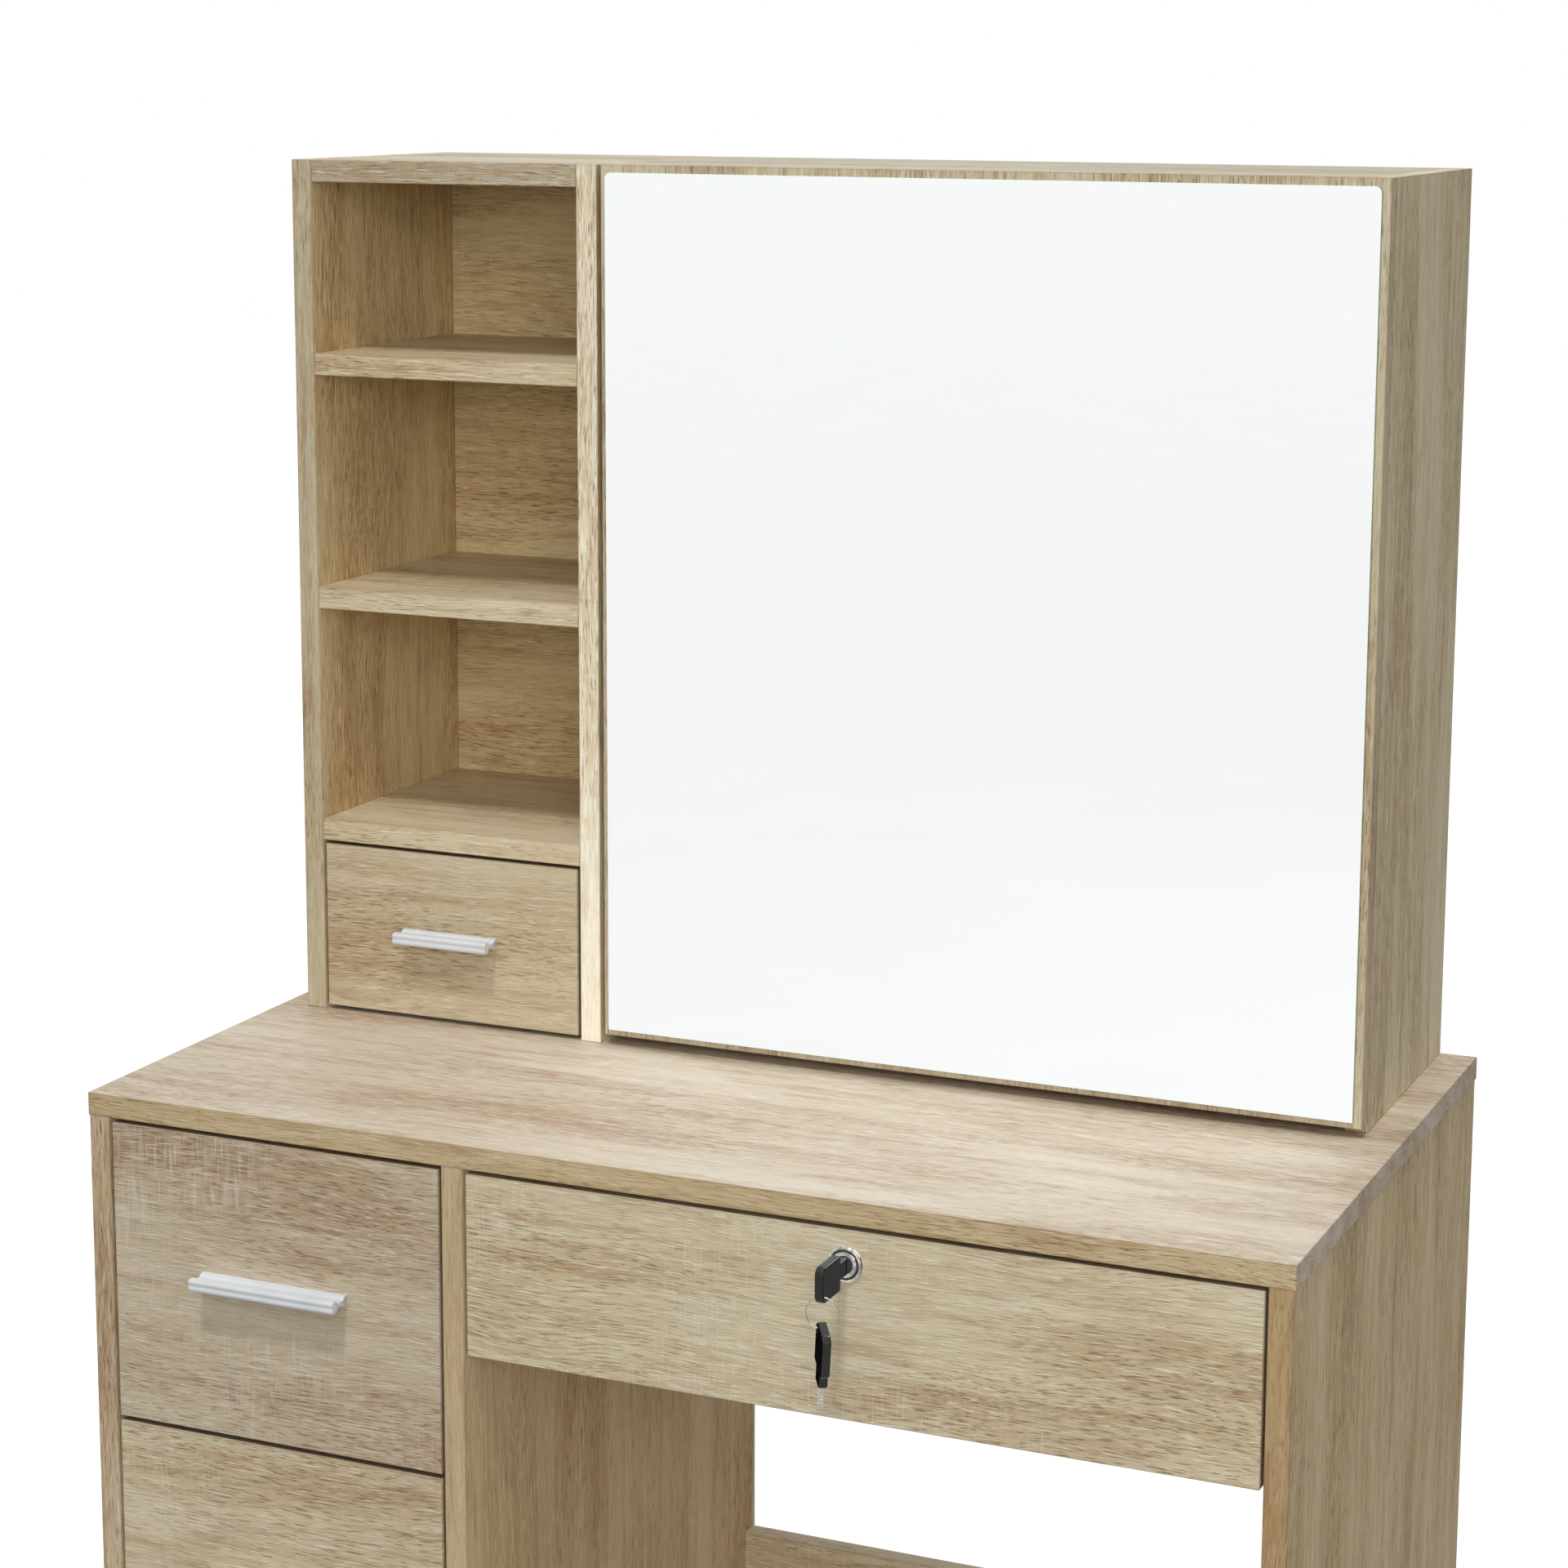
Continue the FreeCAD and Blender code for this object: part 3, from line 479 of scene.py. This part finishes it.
def makeLockMetal(name, ranges, depth):
    # die-cast zinc with polished chrome plate: mirror bright rings, with black laid in between
    material, tree, shader = newMaterial(name)
    coord = addNode(tree, "ShaderNodeTexCoord")

    # distance from the lock's axis, which runs along y
    fromAxis = addNode(tree, "ShaderNodeVectorMath", {
        0: (coord, "Object"), 1: (lock["x"], 0, lock["z"])}, operation="SUBTRACT")
    flat = addNode(tree, "ShaderNodeVectorMath", {0: (fromAxis, 0), 1: (1, 0, 1)},
                   operation="MULTIPLY")
    radius = addNode(tree, "ShaderNodeVectorMath", {0: (flat, 0)}, operation="LENGTH")
    inner, outer = ranges
    above = addNode(tree, "ShaderNodeMath", {
        0: (radius, "Value"), 1: (inner - lock["radiusPlay"]) * mm}, operation="GREATER_THAN")
    below = addNode(tree, "ShaderNodeMath", {
        0: (radius, "Value"), 1: (outer + lock["radiusPlay"]) * mm}, operation="LESS_THAN")
    ring = addNode(tree, "ShaderNodeMath", {0: (above, 0), 1: (below, 0)}, operation="MULTIPLY")

    # the black lies in that ring, sunk below the face and no deeper than the front
    parts = addNode(tree, "ShaderNodeSeparateXYZ", {0: (coord, "Object")})
    atFront = addNode(tree, "ShaderNodeMath", {0: (parts, "Y"), 1: lock["face"] + depth * mm},
                      operation="LESS_THAN")
    sunk = addNode(tree, "ShaderNodeMath", {
        0: (parts, "Y"), 1: lock["face"] + lock["sunkBlackFrom"] * mm}, operation="GREATER_THAN")
    inRing = addNode(tree, "ShaderNodeMath", {0: (ring, 0), 1: (sunk, 0)}, operation="MULTIPLY")
    sunkBlack = addNode(tree, "ShaderNodeMath", {0: (inRing, 0), 1: (atFront, 0)},
                     operation="MULTIPLY")

    wearAndPaintedReflection = addNode(tree, "ShaderNodeTexNoise", {
        "Vector": (coord, "Object"), "Scale": 1 / (lock["wearAndPaintedReflection"] * mm), "Detail": 3.0})
    # painted reflection: the chrome's colour goes from light to dark grey in small patches that
    # stand for dark surroundings reflected in it, and the same noise roughens it a little as wear
    stops = [(spot, toLinear(colour)) for spot, colour in lock["chrome"]]
    chrome = addNode(tree, "ShaderNodeValToRGB", {"Fac": (wearAndPaintedReflection, 0)}, stops=stops)
    tone = addNode(tree, "ShaderNodeMix", {
        "Factor": (sunkBlack, 0), firstColour: (chrome, "Color"),
        secondColour: toLinear(lock["sunkBlack"])}, data_type="RGBA")
    metal = addNode(tree, "ShaderNodeMath", {0: 1.0, 1: (sunkBlack, 0)}, operation="SUBTRACT")
    behind = addNode(tree, "ShaderNodeMath", {0: 1.0, 1: (atFront, 0)}, operation="SUBTRACT")
    cast = addNode(tree, "ShaderNodeMath", {
        0: (behind, 0), 1: lock["castRoughness"], 2: lock["polish"]}, operation="MULTIPLY_ADD")
    worn = addNode(tree, "ShaderNodeMath", {
        0: (wearAndPaintedReflection, 0), 1: lock["wearRoughness"], 2: (cast, 0)}, operation="MULTIPLY_ADD")
    feed(tree, shader, {"Base Color": (tone, mixedColour), "Metallic": (metal, 0),
                        "Roughness": (worn, 0)})
    return material


paint("lock_case", makeLockMetal("zinc die casting, chrome plated, black sunk ring",
                                 lock["groove"], lock["grooveDepth"]))
paint("lock_cylinder", makeLockMetal("brass plug, chrome plated, black sunk dish",
                                     lock["dish"], lock["dishDepth"]))
print("lock painted")

keyHead = {
    "colours": [(0.35, "#121211"), (0.75, "#1c1b1a")], "cloud": 7, "cloudFrom": 0.3,
    "cloudTo": 0.7, "roughness": (0.18, 0.34), "grain": 0.7, "relief": 0.25,
    "reliefHeight": 0.06, "ior": 1.53, "rimSheen": 0.3, "rimFrom": 0.6, "rimTo": 0.3,
}


def makeKeyPlastic(name, nodeName, hinge):
    # ABS, injection moulded black: a glossy rim, and flats left matt black by a spark-eroded grain
    material, tree, shader = newMaterial(name)
    coord = addNode(tree, "ShaderNodeTexCoord")

    # the hinge runs through the head's hole, so a point's reach along it tells the flats, which lie
    # at its two ends, from the rim between them
    axis = np.array(joints[hinge]["axis"])
    axis = axis / np.linalg.norm(axis)
    vertices = frame["nodes"][nodeName].data.vertices
    points = np.empty(len(vertices) * 3)
    vertices.foreach_get("co", points)
    reach = points.reshape(-1, 3) @ axis
    half = (reach.max() - reach.min()) / 2
    along = addNode(tree, "ShaderNodeVectorMath", {0: (coord, "Object"), 1: tuple(axis)},
                    operation="DOT_PRODUCT")
    across = addNode(tree, "ShaderNodeMath", {
        0: (along, "Value"), 1: (reach.min() + reach.max()) / 2}, operation="SUBTRACT")
    aside = addNode(tree, "ShaderNodeMath", {0: (across, 0)}, operation="ABSOLUTE")
    sheen = addNode(tree, "ShaderNodeMapRange", {
        "Value": (aside, 0), "From Min": half - keyHead["rimFrom"] * mm,
        "From Max": half - keyHead["rimTo"] * mm, "To Min": keyHead["rimSheen"], "To Max": 0.0})

    grain = addNode(tree, "ShaderNodeTexNoise", {
        "Vector": (coord, "Object"), "Scale": 1 / (keyHead["grain"] * mm), "Detail": 3.0})
    cloud = addNode(tree, "ShaderNodeTexNoise", {
        "Vector": (coord, "Object"), "Scale": 1 / (keyHead["cloud"] * mm), "Detail": 2.0})
    stops = [(spot, toLinear(colour)) for spot, colour in keyHead["colours"]]
    tone = addNode(tree, "ShaderNodeValToRGB", {"Fac": (cloud, 0)}, stops=stops)
    least, most = keyHead["roughness"]
    gloss = addNode(tree, "ShaderNodeMapRange", {
        "Value": (cloud, 0), "From Min": keyHead["cloudFrom"], "From Max": keyHead["cloudTo"],
        "To Min": least, "To Max": most})
    bump = addNode(tree, "ShaderNodeBump", {
        "Height": (grain, 0), "Strength": keyHead["relief"],
        "Distance": keyHead["reliefHeight"] * mm})
    feed(tree, shader, {"Base Color": (tone, 0), "Roughness": (gloss, 0), "Normal": (bump, 0),
                        "Specular IOR Level": (sheen, 0), "IOR": keyHead["ior"]})
    return material


paint("key_head", makeKeyPlastic("ABS, injection moulded, black, key", "key_head", "ring_swing"))
paint("spare_key_head", makeKeyPlastic("ABS, injection moulded, black, spare", "spare_key_head",
                                       "spare_key_swing"))
print("key heads painted")


def meshFromGrid(name, points):
    # a tube: points is a grid (rows, columns, 3) whose columns close round on themselves, each
    # square of neighbours becomes one face, and the first and last rows are closed by a face each
    rows, columns = points.shape[:2]
    index = np.arange(rows * columns).reshape(rows, columns)
    nextRow = np.roll(index, -1, axis=0)
    nextColumn = np.roll(index, -1, axis=1)
    diagonal = np.roll(nextRow, -1, axis=1)
    squares = np.stack([index, nextRow, diagonal, nextColumn], axis=-1)[:rows - 1]
    faces = squares.reshape(-1, 4).tolist() + [index[0].tolist(), index[-1][::-1].tolist()]
    mesh = bpy.data.meshes.new(name)
    mesh.from_pydata(points.reshape(-1, 3).tolist(), [], faces)
    mesh.validate()
    mesh.update()
    piece = bpy.data.objects.new(name, mesh)
    bpy.context.scene.collection.objects.link(piece)
    return piece


def finishPiece(piece, nodeName, body, material, sharpAbove):
    # smooth but for edges sharper than the given angle, and in the place of its CAD node
    piece.data.shade_smooth()
    piece.data.set_sharp_from_angle(angle=math.radians(sharpAbove))
    piece.data.materials.append(material)
    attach(piece, body)
    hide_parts(nodeName)


# the bar's section in mm
handle = {
    "flange": 7.2, "flangeDepth": 3.2, "flangeRound": 1.2, "web": 3.4, "cove": 1.6,
    "lipHeight": 8.0, "lipDepth": 5.6, "lipRound": 0.8, "nose": 2.0, "hollow": 0.5,
    "endRound": 0.5, "arcPoints": 7, "hollowPoints": 6, "middleRows": 9, "sharpAbove": 32,
}


def handleProfile(reach):
    # outline of the extruded bar as (out, up) in mm, in the order that turns its faces outwards: a
    # low flange, a coved web, and a nose whose front is slightly hollow between two rounded lips;
    # each rounding is a quarter circle, its centre plus its radius times the sine and cosine
    flangeTop = handle["flange"] / 2
    webTop = handle["web"] / 2
    lipTop = handle["lipHeight"] / 2
    f, c, r, n = (handle[name] for name in ("flangeRound", "cove", "lipRound", "nose"))
    deep = handle["flangeDepth"]
    back = reach - handle["lipDepth"]
    turn = np.linspace(0, math.pi / 2, handle["arcPoints"])
    sine, cosine = np.sin(turn), np.cos(turn)
    flangeCorner = np.stack([deep - f + f * sine, flangeTop - f + f * cosine], axis=1)
    coveIn = np.stack([deep + c - c * cosine, webTop + c - c * sine], axis=1)
    coveOut = np.stack([back - c + c * sine, webTop + c - c * cosine], axis=1)
    lipBack = np.stack([back + r - r * cosine, lipTop - r + r * sine], axis=1)
    lipFront = np.stack([reach - n + n * sine, lipTop - n + n * cosine], axis=1)
    dip = np.linspace(0, 1, handle["hollowPoints"])[1:]
    front = reach - handle["hollow"] * np.sin(dip * math.pi / 2) ** 2
    hollow = np.stack([front, (lipTop - n) * (1 - dip)], axis=1)
    half = np.concatenate([[[0.0, flangeTop]], flangeCorner, coveIn, coveOut, lipBack, lipFront,
                           hollow])
    mirrored = half[::-1] * (1, -1)
    return np.concatenate([half, mirrored[1:]])[::-1]


def makeHandle(nodeName, body):
    # the profile carried along x, and drawn in a little over the last half millimetre at both ends
    low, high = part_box(nodeName)
    profile = handleProfile((high.y - low.y) / mm) * mm
    middle = (low.z + high.z) / 2
    e = handle["endRound"] * mm
    rows = handle["middleRows"]
    along = np.array([low.x, low.x + 0.3 * e, low.x + e,
                      *np.linspace(low.x + 4 * e, high.x - 4 * e, rows),
                      high.x - e, high.x - 0.3 * e, high.x])
    inset = np.array([e, 0.3 * e, 0, *np.zeros(rows), 0, 0.3 * e, e])
    away = profile - profile.mean(axis=0)
    length = np.maximum(np.linalg.norm(away, axis=1, keepdims=True), 1e-9)
    shape = profile[None] - inset[:, None, None] * (away / length)[None]
    points = np.empty((len(along), len(profile), 3))
    points[..., 0] = along[:, None]
    points[..., 1] = high.y - np.maximum(shape[..., 0], 0)
    points[..., 2] = middle + shape[..., 1]
    finishPiece(meshFromGrid(nodeName + "_bar", points), nodeName, body,
                handleWhite, handle["sharpAbove"])


for drawer in ("pedestal_drawer_bottom", "pedestal_drawer_middle", "pedestal_drawer_top",
               "small_drawer"):
    makeHandle(drawer + "_handle", drawer)
print("handles made")

# lengths in mm and angles in degrees
key = {
    "wire": 0.42, "ringRadius": 9.5, "ringTurn": 15, "ringStart": 185, "ringTurns": 1.2,
    "ringLap": 2.5, "ringRows": 130, "wireSides": 12, "endRows": 60, "endLeast": 0.15,
    "ringSharpAbove": 50,
    "halfThick": 1.1, "halfWidth": 2.75, "tip": 2.6, "tipWidth": 0.45, "tipCurve": 1.5,
    "groove": 0.5, "grooveAt": (0.22, -0.28), "grooveWidth": 0.2,
    "firstCut": 3.2, "cutPitch": 2.1, "cuts": (0.9, 0.4, 1.2, 0.6, 1.0, 0.3),
    "cutSpots": (-0.35, 0.35, 1.0), "betweenCuts": 0.1,
    "bladeRows": 91, "flatPoints": 21, "bladeSharpAbove": 30,
    "spareTurn": 33, "spareLean": 14,
}


def makeRing(nodeName, body):
    # split ring: a wire of radius r carried round a circle of radius R for a little over one turn,
    # moving sideways by 2.5 r on the way, so that its two ends lie side by side
    low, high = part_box(nodeName)
    centre = np.array((low + high) / 2)
    turn = math.radians(key["ringTurn"])
    right = np.array([math.cos(turn), math.sin(turn), 0.0])
    up = np.array([0.0, 0.0, 1.0])
    side = np.cross(right, up)
    wire = key["wire"] * mm
    part = np.linspace(0, 1, key["ringRows"])[:, None, None]
    angle = math.radians(key["ringStart"]) + part * key["ringTurns"] * 2 * math.pi
    out = np.cos(angle) * right + np.sin(angle) * up
    around = np.linspace(0, 2 * math.pi, key["wireSides"] + 1)[:-1][None, :, None]

    # the wire's radius grows from each end as the square root of the way along, so ends are round
    grown = np.sqrt(np.clip(np.minimum(part, 1 - part) * key["endRows"], 0, 1))
    thick = wire * np.maximum(grown, key["endLeast"])
    points = (centre + key["ringRadius"] * mm * out + wire * key["ringLap"] * (part - 0.5) * side
              + thick * (np.cos(around) * out + np.sin(around) * side))
    finishPiece(meshFromGrid(nodeName + "_wire", points), nodeName, body, keySteel,
                key["ringSharpAbove"])


def bladePoints():
    # key blade along +y from its neck, its flat facing x: a rectangle with a milled groove in each
    # flat, its two narrow edges let in by V cuts at each wafer and drawn together at the tip
    length = (bladeBox[1].y - bladeBox[0].y) / mm
    along = np.linspace(0, length, key["bladeRows"])
    spots = key["firstCut"] + key["cutPitch"] * np.arange(len(key["cuts"]))
    knots = (spots[:, None] + np.array(key["cutSpots"])).ravel()
    between = np.full(len(spots), key["betweenCuts"])
    depth = np.stack([key["cuts"], key["cuts"], between], axis=1)
    above = np.interp(along, knots, depth.ravel(), left=0, right=0)
    below = np.interp(along, knots, depth[::-1].ravel(), left=0, right=0)
    nearTip = np.clip((along - length + key["tip"]) / key["tip"], 0, 1)
    narrow = 1 - (1 - key["tipWidth"]) * nearTip ** key["tipCurve"]
    top = (key["halfWidth"] - above) * narrow
    bottom = (-key["halfWidth"] + below) * narrow

    # a groove is as deep as the exponential of minus the fourth power of the way from its middle
    across = np.linspace(-1, 1, key["flatPoints"])
    flats = []
    for sign, at in zip((1, -1), key["grooveAt"]):
        dip = key["groove"] * np.exp(-((across - at) / key["grooveWidth"]) ** 4)
        flats.append(np.stack([sign * (key["halfThick"] - dip), across], axis=1)[::sign])
    loop = np.concatenate(flats)
    points = np.empty((len(along), len(loop), 3))
    points[..., 0] = loop[:, 0]
    points[..., 1] = along[:, None]
    points[..., 2] = (top[:, None] * (1 + loop[:, 1]) + bottom[:, None] * (1 - loop[:, 1])) / 2
    return points * mm


keySteel = makeSteel("nickel silver, milled and tumbled", "#c6beb2", "#8b8276", 0.26, 0.35)
blade = bladePoints()
low, high = bladeBox
neckEnd = np.array([(low.x + high.x) / 2, low.y, (low.z + high.z) / 2])
finishPiece(meshFromGrid("key_blade_milled", blade + neckEnd), "key_blade", "key",
            keySteel, key["bladeSharpAbove"])

# the spare is the same key, turned about its head's hole to hang blade down
holeInHead = np.array(joints["ring_swing"]["pos_m"]) - neckEnd
hung = (Matrix.Rotation(math.radians(key["spareTurn"]), 3, "Z")
        @ Matrix.Rotation(math.radians(key["spareLean"] - 90), 3, "X")
        @ Matrix.Rotation(math.pi, 3, "Y"))
hangsFrom = np.array(joints["spare_key_swing"]["pos_m"])
spareBlade = (blade - holeInHead) @ np.array(hung).T + hangsFrom
finishPiece(meshFromGrid("spare_key_blade_milled", spareBlade), "spare_key_blade", "spare_key",
            keySteel, key["bladeSharpAbove"])
makeRing("key_ring", "ring")
print("keys and ring made")

studio = {
    "sunHeight": 62, "sunRight": 9, "sunAngle": 7, "sunPower": 1.2,
    # strength of the white world for the camera and for light, and of its dark side for gloss,
    # which starts and ends where a direction agrees this much with the way towards it
    "backdrop": 1.0, "fill": 0.43, "darkSide": 0.1, "darkTowards": (0.6, 0.8, 0.0),
    "darkStarts": 0.58, "darkEnds": 0.85,
    "floor": [(0.3, "#8f8f8d"), (0.7, "#8b8b89")], "floorTooth": 300, "floorRoughness": 0.9,
    "floorHalf": 14.0, "floorGlow": 0.88, "floorInMirror": 0.71,
    # how far in metres towards the dark side the floor's glow in reflections starts to end, ends
    "glowFades": 0.2, "glowEnds": 0.8,
}
softboxes = {
    # width and height in m, place, the point it faces, power in W
    "overhead softbox": (2.6, 2.2, (0.1, -0.5, 3.1), (0.0, 0.0, 0.8), 7),
    "front softbox": (1.8, 1.4, (1.5, -3.4, 2.1), (0.0, 0.2, 0.9), 41),
}

world = bpy.data.worlds.new("white studio")
bpy.context.scene.world = world
world.use_nodes = True
tree = world.node_tree
tree.nodes.clear()
path = addNode(tree, "ShaderNodeLightPath")
direction = addNode(tree, "ShaderNodeTexCoord")
toRear = addNode(tree, "ShaderNodeVectorMath", {
    0: (direction, "Generated"), 1: studio["darkTowards"]}, operation="DOT_PRODUCT")
inGloss = addNode(tree, "ShaderNodeMapRange", {
    "Value": (toRear, "Value"), "From Min": studio["darkStarts"], "From Max": studio["darkEnds"],
    "To Min": studio["backdrop"], "To Max": studio["darkSide"]})
unseen = addNode(tree, "ShaderNodeMix", {
    "Factor": (path, "Is Glossy Ray"), firstNumber: studio["fill"], secondNumber: (inGloss, 0)})
power = addNode(tree, "ShaderNodeMix", {
    "Factor": (path, "Is Camera Ray"), firstNumber: (unseen, 0),
    secondNumber: studio["backdrop"]})
sky = addNode(tree, "ShaderNodeBackground", {"Color": (1, 1, 1, 1), "Strength": (power, 0)})
addNode(tree, "ShaderNodeOutputWorld", {"Surface": (sky, 0)})

sunData = bpy.data.lights.new("key light", "SUN")
sunData.energy = studio["sunPower"]
sunData.angle = math.radians(studio["sunAngle"])
sun = bpy.data.objects.new("key light", sunData)
bpy.context.scene.collection.objects.link(sun)
sun.rotation_euler = (math.radians(90 - studio["sunHeight"]), 0, math.radians(studio["sunRight"]))

for name, (wide, high, place, target, watts) in softboxes.items():
    data = bpy.data.lights.new(name, "AREA")
    data.shape = "RECTANGLE"
    data.size = wide
    data.size_y = high
    data.energy = watts
    lamp = bpy.data.objects.new(name, data)
    bpy.context.scene.collection.objects.link(lamp)
    lamp.location = place
    facing = Vector(target) - Vector(place)
    lamp.rotation_euler = facing.to_track_quat("-Z", "Y").to_euler()

# matt white paper that glows a little for the camera, so that it runs into the white world
floorMaterial, tree, shader = newMaterial("paper sweep, matt white")
coord = addNode(tree, "ShaderNodeTexCoord")
tooth = addNode(tree, "ShaderNodeTexNoise", {
    "Vector": (coord, "Object"), "Scale": 1 / (studio["floorTooth"] * mm), "Detail": 2.0})
stops = [(spot, toLinear(colour)) for spot, colour in studio["floor"]]
paper = addNode(tree, "ShaderNodeValToRGB", {"Fac": (tooth, 0)}, stops=stops)
path = addNode(tree, "ShaderNodeLightPath")
toRear = addNode(tree, "ShaderNodeVectorMath", {0: (coord, "Object"), 1: studio["darkTowards"]},
                 operation="DOT_PRODUCT")
ahead = addNode(tree, "ShaderNodeMapRange", {
    "Value": (toRear, "Value"), "From Min": studio["glowFades"], "From Max": studio["glowEnds"],
    "To Min": studio["floorInMirror"], "To Max": 0.0})
mirrored = addNode(tree, "ShaderNodeMath", {0: (path, "Is Glossy Ray"), 1: (ahead, 0)},
                   operation="MULTIPLY")
glow = addNode(tree, "ShaderNodeMath", {
    0: (path, "Is Camera Ray"), 1: studio["floorGlow"], 2: (mirrored, 0)},
    operation="MULTIPLY_ADD")
feed(tree, shader, {"Base Color": (paper, 0), "Roughness": studio["floorRoughness"],
                    "Emission Color": (1, 1, 1, 1), "Emission Strength": (glow, 0)})
half = studio["floorHalf"]
corners = [(-half, -half, 0), (half, -half, 0), (half, half, 0), (-half, half, 0)]
floorMesh = bpy.data.meshes.new("floor")
floorMesh.from_pydata(corners, [], [(0, 1, 2, 3)])
floorMesh.materials.append(floorMaterial)
floor = bpy.data.objects.new("floor", floorMesh)
bpy.context.scene.collection.objects.link(floor)

# lens and sensor in mm, place in m, angles in degrees from straight ahead, level and upright
view = {
    "lens": 79.99, "sensor": 36, "shiftY": -0.0849, "clipEnd": 100,
    "place": (0.877, -2.005, 1.407), "azimuth": -23.60, "pitch": -9.62, "roll": 0.21,
}

cameraData = bpy.data.cameras.new("camera")
cameraData.sensor_width = view["sensor"]
cameraData.lens = view["lens"]
cameraData.shift_y = view["shiftY"]
cameraData.clip_end = view["clipEnd"]
camera = bpy.data.objects.new("camera", cameraData)
bpy.context.scene.collection.objects.link(camera)
azimuth, pitch, roll = (math.radians(view[name]) for name in ("azimuth", "pitch", "roll"))
forward = np.array([math.sin(azimuth) * math.cos(pitch), math.cos(azimuth) * math.cos(pitch),
                    math.sin(pitch)])
level = np.array([math.cos(azimuth), -math.sin(azimuth), 0.0])
upward = np.cross(level, forward)
right = math.cos(roll) * level + math.sin(roll) * upward
upward = np.cross(right, forward)
axes = Matrix([list(row) for row in np.stack([right, upward, -forward], axis=1)]).to_4x4()
camera.matrix_world = Matrix.Translation(view["place"]) @ axes
bpy.context.scene.camera = camera
bpy.context.scene.view_settings.view_transform = "Standard"
print("light, floor and camera set")

# the desk stays out of reflections, so that the mirror shows nothing but the white studio
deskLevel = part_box("desk_top")[1].z + mm
for piece in bpy.context.scene.objects:
    highest = max(corner[2] for corner in piece.bound_box)
    if piece.type == "MESH" and piece != floor and highest < deskLevel:
        piece.visible_glossy = False
